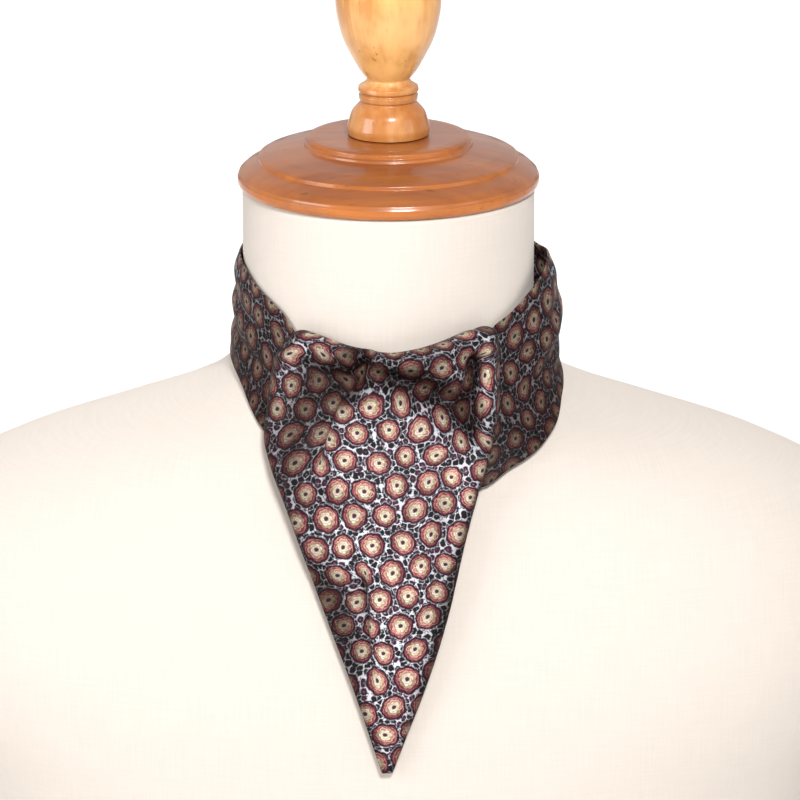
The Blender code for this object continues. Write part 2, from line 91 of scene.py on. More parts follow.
# ------ turned wood
# heights above the neck's top, from the middle of the lid out and down
CAP_PROFILE = table(
    "radius height fillet",
    (0, 21.6, 0), (30.5, 21.5, 3), (33.2, 21.2, 0.8), (34.5, 20.6, 0.7), (34.7, 18.9, 0.4),
    (35.5, 18.3, 0.4), (35.9, 17.2, 0.6), (38.2, 16.9, 1.2), (48, 15, 8), (53.6, 13.2, 1),
    (55.1, 12.4, 0.7), (55.3, 10.9, 0.4), (56.4, 10.2, 0.6), (60.6, 8.1, 4), (63.2, 5.9, 1.4),
    (63.6, 4.9, 0.4), (64, 4.2, 0.5), (64, 2.2, 0.8), (63.2, 0.3, 0.8), (0, 0.3, 0),
)
FINIAL_PROFILE = table(
    "radius height fillet",
    (0, 106, 0), (10, 105.6, 11), (20.4, 97, 16), (22.9, 78, 40), (19.6, 63.4, 40), (12.6, 50.2, 30),
    (9, 45.7, 0.9), (10.2, 44, 1.2), (12.6, 42.6, 0.5), (12.9, 40.8, 0.7), (11.6, 39.9, 0.4),
    (12.6, 39, 0.6), (12.4, 37, 0.5), (11.6, 36.2, 0.5), (15.6, 31.8, 7), (17.7, 24.9, 5),
    (17.1, 21.9, 0.3), (0, 21.9, 0),
)
FILLET_STEPS = 7
TURNINGS = table(
    "part profile sides grain figure coat_roughness richer_below",
    ("cap", CAP_PROFILE, 160, (9.0, 60.0, 60.0), 0.5, 0.12, 0.0),
    ("finial", FINIAL_PROFILE, 96, (70.0, 70.0, 11.0), 1.6, 0.14, NECK_TOP + 45.0),
)

# ------ the cravat
BAND_PLEATS = 3  # lengthwise pleats stitched down in the neck band
SEAM_ANGLE = 112.0  # where the neck band is sewn to each stretch, from the front
SEAM_TURN = 0.16  # degrees left free on each side of a seam
PLEATS_OPEN_AT = 40.0  # from the front, where the band's pleats have opened out
CREST_DIP = 6.5  # how much lower the front blade's top fold hangs at its middle than at its corners
CREST_REACH = 38.0
CREST_POWER = 1.5
RISER_LENGTH = 8.0  # of the silk that comes up behind the top fold
RISER_GAP = 1.8
ROLL_RISE = 2.6
RISER_GATHER = 0.22
CURL_WIDTH = 4.6  # of the blade's edges, which roll back to the chest
CURL_SHARE = 0.25
CURL_TURN = 120.0
CURL_LEAST = 0.25
CURL_WHOLE_AT = 60.0
OUTWARD = {"left curl": -1, "right curl": 1}
TUCK_WIDTH = 2.6  # of the step where the blade's two halves fold past each other
TUCK_SHARPNESS = 2.2
TUCK_REACH = 3.9
TUCK_REACH_SHARE = 0.3
TUCK_MARGIN = 1.2
TUCK_ROLL = 3.6
TUCK_ROLL_MIDDLE = 0.35
TUCK_ROLL_WIDTH = 0.7

STRETCH_COLUMNS = "angle top low top_gap middle_gap low_gap"
RIGHT_STRETCH = table(
    STRETCH_COLUMNS,
    (-16, 71, 116, 3.7, 3.7, 3.7), (10, 69, 117, 3.7, 3.7, 3.7), (28, 67, 112, 3.2, 3.7, 3.7),
    (36, 61.5, 106, 2.4, 3.7, 3.7), (43, 50, 102, 2, 4, 3.6), (52, 46, 96, 2.4, 5.6, 3.8),
    (65, 39.5, 88, 3.8, 9.4, 4.4), (78, 33.5, 82, 5.6, 11.2, 4.8), (90, 29.5, 77, 5.8, 10.6, 4.5),
    (100, 29, 74, 2.4, 6.2, 3), (SEAM_ANGLE, 29, 72, 1.2, 2.4, 2),
)
LEFT_STRETCH = table(
    STRETCH_COLUMNS,
    (-SEAM_ANGLE, 29, 72, 1.2, 2.4, 2), (-90, 29, 72, 1.1, 3.4, 2.2), (-75, 31.5, 75, 1.2, 3.6, 2.2),
    (-60, 37, 81, 1.3, 3.2, 2), (-45, 43.6, 91, 1.4, 2.4, 1.6), (-38, 51, 96, 1.4, 1.8, 1.5),
    (-30, 63, 102, 1.4, 1.4, 1.4), (-12, 68, 110, 1.4, 1.4, 1.4), (10, 70, 112, 1.4, 1.4, 1.4),
)
NECK_BAND = table(
    STRETCH_COLUMNS,
    (SEAM_ANGLE, 29, 72, 1.2, 2.4, 2), (145, 26.5, 69, 1.2, 1.8, 1.6), (180, 25.5, 68, 1.2, 1.6, 1.6),
    (215, 26.5, 69, 1.2, 1.8, 1.6), (360.0 - SEAM_ANGLE, 29, 72, 1.2, 2.4, 2),
)
FRONT_BLADE = table(
    "drop left right rise bow edge_gap",
    (51.5, -40.5, 45.2, 10, 72, 7), (57.5, -44.9, 46, 13, 74, 7.2), (63, -47.7, 46.2, 14.4, 76, 7.3),
    (75, -49.6, 46.2, 16.6, 80, 7.4), (84, -50.8, 45.4, 18, 86, 7.3), (92, -51.6, 43.6, 18.6, 94, 7),
    (100, -49.4, 41, 18.2, 104, 6.6), (114, -43.4, 36.2, 16.4, 125, 6),
    (129, -37.2, 31.8, 13.6, 150, 5.3), (159, -25.2, 24.3, 9.8, 190, 4.4),
    (187, -14.4, 15.2, 6.9, 230, 3.8), (210, -6.5, 6.2, 4.6, 260, 3.5), (222, -2.5, 1.7, 3.6, 260, 3.4),
)
TUCK = table(
    "drop across step overlap",
    (48, -6, 0, 0), (56, -7.5, 2.3, 0.15), (62, -10.5, 4.8, 0.6), (67, -14, 6.2, 1.1),
    (75, -18, 6.6, 1.15), (84, -21, 6.4, 1.1), (95, -25.5, 4.6, 0.6), (108, -32, 0, 0), (120, -18, 0, 0),
    (130, -8.5, 0, 0), (146, -7.2, 3.4, 0.3), (165, -6.2, 3.4, 0.3), (190, -3.6, 1.4, 0),
    (222, -0.4, 0, 0),
)
# soft ridges (rise over 0) and hollows along paths on the blade: drop, across, width and rise
BLADE_FOLDS = {
    "pocket": (
        (55, -7, 2.8, -1.4), (59, -9.5, 3.6, -4.8), (63.5, -13, 3.6, -4.2), (68, -16.5, 3.2, -2.2),
        (75, -20.5, 3, -1.8), (84, -25, 3, -2), (94, -30, 2.8, -1), (103, -34, 2.6, 0),
    ),
    "left top roll": (
        (54, -40, 3.2, 0.6), (54.5, -30, 3.6, 2.2), (57.5, -20, 3.4, 2.6), (60.5, -14.5, 2.6, 1.2),
    ),
    "under the left roll": (
        (60, -39, 3.6, -0.8), (63.5, -29, 4.4, -3), (69, -21.5, 3.8, -2.6), (80, -26, 3.2, 0),
    ),
    "left crown": ((62, -42, 5, 0.8), (76, -38, 7, 2.8), (94, -40, 6.5, 2.4), (114, -38, 5, 0)),
    "slant hollow": (
        (62, -7, 4, -3.4), (65, -1, 5.6, -8.4), (68.5, 9, 6.2, -9.2), (73, 20, 6.2, -9.4),
        (79.5, 28.5, 5.4, -7.6), (87, 36, 4, -2.6),
    ),
    "right hollow": (
        (57, 34, 3, -4.2), (60.5, 35, 3.9, -10.6), (67, 35, 4.1, -10.2), (76, 34, 4, -7),
        (85, 34, 3.6, -4.8), (95, 35, 3, 0),
    ),
    "right ridge": (
        (54, 41.2, 2.4, 1.2), (62, 41.6, 2.6, 3.6), (76, 41.6, 2.6, 3.6), (90, 39.4, 2.8, 2.8),
        (112, 32.4, 3, 0),
    ),
    "top roll": (
        (59.5, -2, 3.2, 0.8), (58.2, 8, 3.6, 2.2), (55.6, 20, 3.8, 3.4), (53.6, 29, 3.2, 3.2),
        (53, 36, 2.8, 1.2),
    ),
    "middle crown": (
        (69, -13, 4, 1.6), (73, -3, 5.6, 2.6), (80, 9, 6.8, 2.8), (89, 20.5, 7, 2.8), (98, 29, 5.4, 1.6),
        (108, 32, 4, 0),
    ),
    "long crown": ((88, -12, 9, 0), (108, -4, 11, 1.8), (134, 8, 9, 1.8), (168, 6, 6, 1), (200, 2, 4, 0)),
    "right slope": ((98, 25, 4, 0), (120, 22, 4.2, -1.8), (146, 17.5, 4, -1.6), (184, 9, 3, 0)),
}
PATH_STEPS = 60
# fine creases that only the finished silk has: drop, across, width and rise
BLADE_CREASES = {
    "left drag": ((62, -24, 1.8, 0), (80, -34, 2.2, -0.8), (104, -44, 2, 0)),
    "left upper": ((56, -32, 1.6, 0), (66, -41, 1.8, -0.7), (84, -47, 1.8, 0)),
    "under the roll": ((58, 2, 1.8, 0), (63, 16, 2, -0.9), (66, 29, 1.8, 0)),
    "middle drag": ((74, -18, 2, 0), (92, -9, 2.6, -0.7), (124, 5, 2.4, 0)),
    "from the hollow": ((84, 30, 2, 0), (96, 22, 2.4, -0.9), (118, 12, 2.2, 0)),
    "long one": ((104, 12, 2, 0), (140, 3, 2.4, -0.8), (196, 1, 2, 0)),
    "left long": ((108, -28, 2, 0), (140, -20, 2.2, -0.8), (188, -8, 2, 0)),
    "right short": ((122, 26, 1.6, 0), (144, 20, 1.8, -0.6), (168, 15, 1.6, 0)),
    "low pleat": ((130, -14, 2, 0), (148, -9, 2.6, -2.4), (163, -6.8, 2.6, -2.4), (186, -5.5, 2, 0)),
    "near the tip": ((176, 8, 1.4, 0), (192, 5, 1.6, -0.5), (212, 1, 1.4, 0)),
}
# a crease along a stretch: its path as angles and shares of the way down, its width and its rise
CREASE_COLUMNS = "path width rise"
RIGHT_CREASES = table(
    CREASE_COLUMNS,
    (((30, 0.12), (55, 0.42), (84, 0.36)), 2.6, -1.6),
    (((38, 0.55), (60, 0.74), (96, 0.68)), 2.4, -1.2),
    (((42, 0.3), (58, 0.2), (80, 0.14)), 2, -0.8),
)
LEFT_CREASES = table(
    CREASE_COLUMNS,
    (((-96, 0.34), (-62, 0.4), (-40, 0.2)), 2.4, -1),
    (((-100, 0.66), (-66, 0.7), (-42, 0.62)), 2.4, -0.9),
)
CREASE_FADE = 8.0  # degrees over which a crease along a stretch dies away
# broad patches of shade painted on the blade: drop, across, width and share of the full shade
BLADE_SHADES = {
    "left plane": (
        (56, -30, 9, 0.4), (70, -31, 14, 0.97), (86, -37, 14, 0.97), (102, -41, 11, 0.85),
        (120, -37, 8, 0.5), (150, -28, 5, 0.3),
    ),
    "under the crest": (
        (60, -10, 7, 0.7), (63, 6, 9, 0.95), (68, 20, 10.5, 1), (78, 32, 9.5, 1), (92, 39, 7, 0.4),
    ),
    "left crest": ((51, -13, 4, 0.5), (55, -17, 6, 0.7), (61, -20, 8, 0.75), (66, -23, 8, 0.6)),
    "notch": ((56, -10, 4, 0.5), (61, -11, 5, 0.9), (67, -14.5, 4.5, 0.9), (72, -18.5, 4, 0.6)),
    "crest": ((54, 6, 4, 0.2), (52.5, 18, 5, 0.5), (52.5, 32, 6, 0.5), (56, 43, 5, 0.3)),
    "low left": (
        (138, -28, 6, 0.4), (152, -22, 8.5, 0.95), (166, -17.5, 8, 0.95), (184, -13, 4.5, 0.5),
        (206, -9, 3, 0.3),
    ),
    "right edge": (
        (118, 37, 5, 0.6), (140, 30, 6.5, 1), (166, 23, 6.5, 1), (192, 15.5, 5, 0.95), (214, 9, 4, 0.7),
    ),
    "middle": ((76, -6, 14, 0.14), (92, 6, 15, 0.16), (116, 4, 12, 0.08), (132, 2, 10, 0)),
}
SINK_PASSES = 60  # how far round it a point is compared, to find what lies deep
SINK_DEPTH = 3.2  # how far behind its surroundings a point gets the full painted shade
PLEAT_SHADE = 0.6  # painted shade in the troughs between the band's pleats
PLEAT_SHARPNESS = 8  # even, and the greater the narrower the troughs
EDGE_SHADE = 0.75  # painted shade at the front blade's rolled edges
EDGE_SHADE_WIDTH = 5.0
STRETCH_SHADE = (0.78, 1.0)  # painted shade at a stretch's top edge and at its low edge
UNDER_BLADE = table(
    "drop left right",
    (119, -31, 30), (128, -27, 28.8), (140, -23.5, 26.4), (158, -18.5, 21.6), (178, -12, 14.4),
    (198, -3.5, 5.5),
)
UNDER_GAP = 1.3
FlatCut = namedtuple("FlatCut", "width length area held rests_on")
FLAT_CUTS = {  # what shows of each piece, laid flat: millimetres and square millimetres
    "silk_neck_band": FlatCut(157.7, 43.4, 6650.0, "gathered", ("linen_form",)),
    "silk_left_stretch": FlatCut(165.8, 50.0, 6390.0, "draped", ("linen_form", "silk_neck_band")),
    "silk_right_stretch": FlatCut(191.0, 58.9, 8050.0, "draped", ("silk_left_stretch", "silk_neck_band")),
    "silk_under_blade": FlatCut(61.0, 89.7, 3270.0, "hung", ("linen_form", "silk_left_stretch")),
    "silk_front_blade": FlatCut(148.3, 219.5, 15300.0, "hung", ("silk_right_stretch",)),
}
BAND_SEWING = (0.05, 1 / 3, 2 / 3, 0.95)  # how far down the neck band its rows of stitches run
SEAM_SEWING = 1.4  # degrees from each seam to its row of stitches
SEWING_STEPS = 120
UNEVENNESS = ((17.0, 0.32), (6.5, 0.1))  # the silk's soft unevenness: its sizes, and how high each is

# columns and rows of each piece's grid, before its one subdivision
STRETCH_SPACING = 1.5
CURL_COLUMNS = 5
BLADE_COLUMNS = {"left": 14, "tuck": 16, "right": 40}
RISER_ROWS = 4
ROLL_ROWS = 10
OVER_ROWS = RISER_ROWS + ROLL_ROWS
UPPER_ROWS = 54
LOWER_ROWS = 44
UPPER_END = 114.0  # drop down to which the blade's rows are close together
UNDER_COLUMNS = 24
UNDER_ROWS = 34
PLUMB = 2.0  # across, where the front blade's print hangs true

# ------ finishes and studio
HALF = (0.5, 0.5, 0.5)
WANDER = 5.0  # how far the print strays from its straight rows
TWILL = 0.7  # from rib to rib of the silk
COAT = 0.55  # share of the wood's varnish
FLOOR_SIZE = 30.0
MIDDLE = (0.0, 0.0, NECK_TOP * MM * 0.8)
CAMERA_TARGET = (0.0049, -0.03, 0.263)
LAMPS = table(
    "name power share size spot target mirrored",
    ("key_lamp", "key", 1.0, 0.45, (0.3, -1.4, 1.5), MIDDLE, True),
    ("left_lamp", "fill", 1.0, 1.0, (-1.7, -0.9, 0.9), MIDDLE, True),
    ("right_lamp", "fill", 0.17, 0.8, (1.7, -0.9, 0.8), MIDDLE, True),
    ("floor_lamp", "back", 1.0, 2.0, (0.0, 1.65, 1.35), (0.0, 1.6, 0.0), False),
)


# ------ reading the tables
def curve(share, length, start, end, start_slope, end_slope):
    """A smooth run from one value to another, with the slope that it has at each end."""
    square, cube = share**2, share**3
    return (
        (2 * cube - 3 * square + 1) * start
        + (cube - 2 * square + share) * length * start_slope
        + (3 * square - 2 * cube) * end
        + (cube - square) * length * end_slope
    )


def middle_slope(before, after):
    """The slope of a curve that never overshoots, between two straight steps."""
    turning = before * after <= 0
    return np.where(turning, 0.0, 2 * before * after / np.where(turning, 1.0, before + after))


def read(rows, at):
    """A table's other columns at values of its first one, on curves that never overshoot."""
    table = np.array(rows, float)
    places, columns = table[:, 0], table[:, 1:]
    at = np.clip(np.asarray(at, float), places[0], places[-1])
    span = np.clip(np.searchsorted(places, at, side="right") - 1, 0, len(places) - 2)
    length = np.diff(places)
    steps = np.diff(columns, axis=0) / length[:, None]
    slopes = np.concatenate([steps[:1], middle_slope(steps[:-1], steps[1:]), steps[-1:]])
    share = (at - places[span]) / length[span]
    return [
        curve(share, length[span], column[span], column[span + 1], slope[span], slope[span + 1])
        for column, slope in zip(columns.T, slopes.T)
    ]


def arched(top, middle, low, down):
    """A value that runs from its top one through its middle one to its low one."""
    above, below = (middle - top) / 0.5, (low - middle) / 0.5
    between = middle_slope(above, below)
    upper = curve(down * 2, 0.5, top, middle, above, between)
    return np.where(down < 0.5, upper, curve(down * 2 - 1, 0.5, middle, low, between, below))


def ease(share):
    share = np.clip(share, 0.0, 1.0)
    return share * share * (3 - 2 * share)


def mix(low, high, share):
    return low + (high - low) * share


# ------ the form's surface
def form_radius(angle, drop):
    half_width, front, back, power = read(FORM_SECTIONS, drop)
    side, ahead = np.sin(angle), np.cos(angle)
    depth = np.where(ahead > 0, front, back)
    return (np.abs(side / half_width) ** power + np.abs(ahead / depth) ** power) ** (-1 / power)


def form_front(across, drop):
    """How far the linen stands forward of the neck's axis, at a place seen from the front."""
    half_width, front, _, power = read(FORM_SECTIONS, drop)
    left_over = np.maximum(1 - np.abs(across / half_width) ** power, 0.0)
    return front * left_over ** (1 / power)


def place(across, forward, drop):
    return np.stack(np.broadcast_arrays(across, -forward, NECK_TOP - drop), axis=-1) * MM


def form_point(angle, drop):
    radius = form_radius(angle, drop)
    return place(radius * np.sin(angle), radius * np.cos(angle), drop)


def off_form(angle, drop, gap):
    """A point this far out from the linen, square to it."""
    here = form_point(angle, drop)
    along = form_point(angle + NUDGE, drop) - here
    down = form_point(angle, drop + NUDGE) - here
    outward = np.cross(down, along)
    outward /= np.linalg.norm(outward, axis=-1, keepdims=True)
    return here + outward * np.asarray(gap)[..., None] * MM


# ------ the cloth's surfaces
def unevenness(points):
    """A soft, fixed unevenness of the silk at each point, in millimetres."""
    flat = points.reshape(-1, 3) / MM
    total = np.zeros(len(flat))
    for length, height in UNEVENNESS:
        total += [height * noise.noise(Vector(spot) / length) for spot in flat]
    return total.reshape(points.shape[:-1])


def crease_rise(creases, turn, down, height):
    """The soft creases along a stretch. height is its width from edge to edge."""
    total = np.zeros_like(turn)
    for crease in creases:
        start, end = crease.path[0][0], crease.path[-1][0]
        near = ease((turn - start) / CREASE_FADE) * ease((end - turn) / CREASE_FADE)
        aside = (down - read(crease.path, turn)[0]) * height / crease.width
        total += crease.rise * near * np.exp(-aside * aside)
    return total


def pleats_closed(from_front):
    """How far the band's pleats are still closed at an angle from the front, from 0 to 1."""
    return ease((from_front - PLEATS_OPEN_AT) / (SEAM_ANGLE - PLEATS_OPEN_AT))


def stretch_surface(rows, creases, pleat_rise, turn, down, lift=0.0):
    """Points of the band or a stretch, each a little off the middle of its layers if lifted."""
    top, low, top_gap, middle_gap, low_gap = read(rows, turn)
    gap = arched(top_gap, middle_gap, low_gap, down)
    closed = pleats_closed(np.minimum(np.abs(turn), 360 - np.abs(turn)))
    gap = gap + pleat_rise * closed * np.sin(np.pi * BAND_PLEATS * down) ** 2
    gap = gap + crease_rise(creases, turn, down, low - top)
    drop = mix(top, low, down)
    points = off_form(np.radians(turn), drop, gap)
    return off_form(np.radians(turn), drop, gap + unevenness(points) + lift)


def stretch_points(rows, creases, pleat_rise):
    """The band or a stretch as rows of points, from its top edge down."""
    start, end = rows[0].angle, rows[-1].angle
    start += SEAM_TURN if abs(start) == SEAM_ANGLE else 0
    end -= SEAM_TURN if end >= SEAM_ANGLE else 0
    length = math.radians(end - start) * NECK_RADIUS
    width = rows[0].low - rows[0].top
    turn, down = np.meshgrid(
        np.linspace(start, end, round(length / STRETCH_SPACING) + 1),
        np.linspace(0.0, 1.0, round(width / STRETCH_SPACING) + 1),
    )
    return stretch_surface(rows, creases, pleat_rise, turn, down)


def band_sewing(pleat_rise, lift):
    """The lines of the neck band's sewing: along its pleats and down each end."""
    start, end = NECK_BAND[0].angle + SEAM_SEWING, NECK_BAND[-1].angle - SEAM_SEWING
    steps = np.linspace(0.0, 1.0, SEWING_STEPS)
    rows = [(mix(start, end, steps), 0 * steps + down) for down in BAND_SEWING]
    ends = [(0 * steps + turn, mix(BAND_SEWING[0], BAND_SEWING[-1], steps)) for turn in (start, end)]
    return [stretch_surface(NECK_BAND, (), pleat_rise, turn, down, lift) for turn, down in rows + ends]


def crest_dip(across):
    return CREST_DIP * np.maximum(1 - np.abs(across / CREST_REACH) ** CREST_POWER, 0.0)


def fold_rise(across, drop, paths):
    """The soft ridges, hollows and creases along some paths at each place."""
    across, drop = np.broadcast_arrays(across, drop)
    total = np.zeros(across.shape)
    for path in paths:
        stops = [(i, *point) for i, point in enumerate(path)]
        low, aside, width, rise = read(stops, np.linspace(0, len(path) - 1, PATH_STEPS * len(path)))
        square = ((drop[..., None] - low) ** 2 + (across[..., None] - aside) ** 2) / width**2
        nearest = square.argmin(axis=-1)
        total += rise[nearest] * np.exp(-np.take_along_axis(square, nearest[..., None], -1)[..., 0])
    return total


def sunk(points):
    """How deep each point of a hanging sheet lies behind the points round it, from 0 to 1: its share of
    the shade painted in hollows.
    """
    forward = -points[..., 1] / MM
    around = forward
    for _ in range(SINK_PASSES):
        edged = np.pad(around, 1, mode="edge")
        around = (edged[1:-1, :-2] + edged[1:-1, 2:] + edged[:-2, 1:-1] + edged[2:, 1:-1]) / 4
    return np.clip((around - forward) / SINK_DEPTH, 0.0, 1.0)


def blade_shade(points):
    """Shade painted on the front blade: in its hollows, on its broad patches and towards its rolled edges.
    """
    across, drop = points[..., 0] / MM, NECK_TOP - points[..., 2] / MM
    broad = np.clip(fold_rise(across, drop, BLADE_SHADES.values()), 0.0, 1.0)
    inside = np.minimum(across - across.min(axis=1)[:, None], across.max(axis=1)[:, None] - across)
    edge = EDGE_SHADE * (1 - ease(inside / EDGE_SHADE_WIDTH))
    return 1 - (1 - broad) * (1 - sunk(points)) * (1 - edge)


def beside_neck(points):
    """How far from the front each point of a stretch lies, in degrees, and how far down it."""
    from_front = np.degrees(np.arctan2(np.abs(points[..., 0]), -points[..., 1]))
    return from_front, np.linspace(0.0, 1.0, len(points))[:, None]


def pleat_shade(points):
    """Shade painted in the troughs between the band's pleats, as far as they stay closed."""
    from_front, down = beside_neck(points)
    troughs = np.cos(np.pi * BAND_PLEATS * down) ** PLEAT_SHARPNESS
    return PLEAT_SHADE * pleats_closed(from_front) * troughs


def stretch_shade(points):
    """Shade painted on the side stretches beside the neck, and more so towards their low edges, with the
    pleats' painted shade.
    """
    from_front, down = beside_neck(points)
    beside = mix(*STRETCH_SHADE, down) * ease((SEAM_ANGLE - from_front) / PLEATS_OPEN_AT)
    return 1 - (1 - beside) * (1 - pleat_shade(points))


def no_shade(points):
    return np.zeros(points.shape[:2])


def blade_forward(across, drop, before_tuck):
    _, _, rise, bow, _ = read(FRONT_BLADE, drop)
    front = read(FORM_SECTIONS, drop)[1]
    step = read(TUCK, drop)[1]
    folds = fold_rise(across, drop, (*BLADE_FOLDS.values(), *BLADE_CREASES.values()))
    return front + rise - across * across / (2 * bow) + folds - step * before_tuck


def blade_columns():
    """The blade's columns as (part, share): which edge roll or side, and how far across it."""
    curls = [i / CURL_COLUMNS for i in range(1, CURL_COLUMNS + 1)]
    middle = [(part, i / count) for part, count in BLADE_COLUMNS.items() for i in range(count)]
    left, right = ([(part, share) for share in curls] for part in OUTWARD)
    return [*reversed(left), *middle, ("right", 1.0), *right]


def blade_column(part, share, drop, crest_share):
    """One column of the front blade's face at each drop."""
    left, right, _, _, edge_gap = read(FRONT_BLADE, drop)
    curl = np.minimum(CURL_WIDTH, CURL_SHARE * (right - left))
    inner_left, inner_right = left + curl, right - curl
    tuck, _, overlap = read(TUCK, drop)
    reach = np.minimum(TUCK_REACH, TUCK_REACH_SHARE * (inner_right - inner_left))
    tuck = np.clip(tuck, inner_left + TUCK_MARGIN * reach, inner_right - TUCK_MARGIN * reach)
    flat = {
        "left curl": inner_left,
        "left": mix(inner_left, tuck - reach, share),
        "tuck": mix(tuck - reach, tuck + reach, share),
        "right": mix(tuck + reach, inner_right, share),
        "right curl": inner_right,
    }[part]
    low = drop + crest_share * crest_dip(flat)
    aside = (flat - tuck) / TUCK_WIDTH
    before_tuck = (1 - np.tanh(TUCK_SHARPNESS * aside)) / 2
    rolled = np.exp(-(((aside - TUCK_ROLL_MIDDLE) / TUCK_ROLL_WIDTH) ** 2))
    across = flat - TUCK_ROLL * overlap * rolled
    forward = blade_forward(flat, low, before_tuck)
    if part in OUTWARD:
        widest = np.minimum((right - left) / CURL_WHOLE_AT, 1.0)
        whole = math.radians(CURL_TURN) * mix(CURL_LEAST, 1.0, widest)
        turn = whole * share
        across = flat + OUTWARD[part] * curl * np.sin(turn) / np.sin(np.minimum(whole, np.pi / 2))
        back = form_front(across, low) + edge_gap
        forward = mix(forward, back, (1 - np.cos(turn)) / (1 - np.cos(whole)))
    return np.stack([across, forward, low], axis=-1)


def front_blade_points():
    """Rows of points: up behind the top fold, over it, and down the face to the tip."""
    first, last = FRONT_BLADE[0].drop, FRONT_BLADE[-1].drop
    upper = np.linspace(first, UPPER_END, UPPER_ROWS, endpoint=False)
    drops = np.concatenate([upper, np.linspace(UPPER_END, last, LOWER_ROWS + 1)])
    crest_share = 1 - ease((drops - first) / (2 * CREST_REACH))
    step = np.arange(OVER_ROWS)
    climb = np.minimum(step / RISER_ROWS, 1.0)
    turn = np.pi * np.maximum(step - RISER_ROWS, 0) / ROLL_ROWS
    behind = (1 + np.cos(turn)) / 2
    columns = []
    for part, share in blade_columns():
        face = blade_column(part, share, drops, crest_share)
        across, forward, low = face[0]
        outward = OUTWARD.get(part, 0)
        edge = FRONT_BLADE[0].left if outward < 0 else FRONT_BLADE[0].right
        unrolled = edge + outward * CURL_WIDTH * (share - 1) if outward else across
        narrowed = mix(across, unrolled * (1 - RISER_GATHER), behind)
        back = form_front(narrowed, low) + RISER_GAP
        drop = low + RISER_LENGTH * (1 - climb) - ROLL_RISE * np.sin(turn)
        roll = place(narrowed, mix(forward, back, behind), drop)
        columns.append(np.concatenate([roll, place(*face.T)]))
    points = np.stack(columns, axis=1)
    points[..., 1] -= unevenness(points) * MM
    return points


def under_blade_points():
    drop, share = np.meshgrid(
        np.linspace(UNDER_BLADE[0].drop, UNDER_BLADE[-1].drop, UNDER_ROWS + 1),
        np.linspace(0.0, 1.0, UNDER_COLUMNS + 1),
        indexing="ij",
    )
    left, right = read(UNDER_BLADE, drop)
    spot = mix(left, right, share)
    return place(spot, form_front(spot, drop) + UNDER_GAP, drop)


# ------ settings
def paint(name, what, default):
    return FloatVectorProperty(name=name, description=f"Colour of {what}", default=default, min=0.0,
                               max=1.0, subtype="COLOR")


def amount(name, description, default, **kind):
    return FloatProperty(name=name, description=description, default=default, **({"min": 0.0} | kind))


def measure(name, description, default):
    return amount(name, description, default * MM, precision=4, subtype="DISTANCE", unit="LENGTH")


def slant(name, description, default):
    return amount(name, description, math.radians(default), min=-math.pi, subtype="ANGLE",
                  unit="ROTATION")


class CravatCloth(bpy.types.PropertyGroup):
    """Sizes of the sewn silk"""

    thickness: measure("Silk thickness", "Two layers of silk, turned through", 0.95)
    pleat_rise: measure("Pleat rise", "How far each stitched pleat of the neck band stands up", 1.5)
    stitch_length: measure("Stitch length", "Length of one stitch of the sewing thread", 2.4)
    stitch_gap: measure("Stitch gap", "Gap from one stitch to the next", 0.9)
    thread: measure("Thread", "Thickness of the sewing thread", 0.34)
    thread_colour: paint("Thread colour", "the sewing thread", (0.10, 0.035, 0.04))


class CravatPrint(bpy.types.PropertyGroup):
    """Sizes and colours of the printed rosettes"""

    across: measure("Across", "Distance from rosette to rosette in a row", 12.6)
    down: measure("Down", "Height of two rows of rosettes, which are staggered", 22.8)
    jitter: measure("Jitter", "How far a rosette may stand off its place", 2.3)
    rosette: measure("Rosette radius", "Outer radius of a rosette", 5.5)
    sprig: measure("Sprig", "Distance between the small leaves of the ground", 2.65)
    # painted shade: how far the silk's colour darkens where its shade attribute is full, and the share of
    # the colour that the deepest painted shade keeps
    deepest: amount("Deepest shade", "How much the silk darkens where it lies deep", 0.9, max=1.0,
                    subtype="FACTOR")
    deep: paint("Deep", "the deepest shade, as the share that it leaves", (0.085, 0.055, 0.048))
    tilt: slant("Tilt", "Turn of the rows on the front blade", 7.5)
    ground: paint("Ground", "the silk between the leaves", (0.57, 0.62, 0.68))
    ground_warm: paint("Warm ground", "some patches between the leaves", (0.68, 0.63, 0.65))
    leaf: paint("Leaf", "the small leaves", (0.013, 0.010, 0.013))
    berry: paint("Berry", "some of the small leaves", (0.045, 0.013, 0.027))
    heart: paint("Leaf's heart", "the middle of some leaves", (0.17, 0.15, 0.19))
    outline: paint("Outline", "the line round a rosette", (0.030, 0.008, 0.014))
    petal: paint("Petal", "a rosette's outer petals", (0.110, 0.021, 0.034))
    petal_edge: paint("Petal edge", "the outer petals' lit parts", (0.385, 0.115, 0.118))
    blush: paint("Blush", "the fine lines inside the petals", (0.78, 0.40, 0.34))
    loop: paint("Loop", "the small loop beside a rosette's middle", (0.88, 0.60, 0.52))
    ring: paint("Ring", "a rosette's middle ring", (0.20, 0.155, 0.080))
    ring_edge: paint("Ring edge", "the middle ring's lit parts", (0.50, 0.41, 0.26))
    centre: paint("Centre", "a rosette's centre", (0.88, 0.79, 0.71))
    dot: paint("Dot", "the dot in the centre", (0.055, 0.024, 0.042))


class CravatForm(bpy.types.PropertyGroup):
    """Finishes of the bust form, its cap and its finial"""

    linen: paint("Linen", "the linen", (0.655, 0.584, 0.522))
    linen_thread: measure("Linen thread", "Distance from thread to thread of the linen", 0.62)
    cap_light: paint("Cap, light grain", "the cap's light grain", (0.31, 0.094, 0.020))
    cap_dark: paint("Cap, dark grain", "the cap's dark grain", (0.20, 0.052, 0.012))
    cap_edge: paint("Cap, turned sides", "the cap's turned sides", (0.56, 0.165, 0.020))
    finial_light: paint("Finial, light grain", "the finial's light grain", (0.87, 0.56, 0.25))
    finial_dark: paint("Finial, dark grain", "the finial's dark grain", (0.42, 0.135, 0.022))
    finial_edge: paint("Finial, turned sides", "the finial's sides", (0.76, 0.39, 0.12))


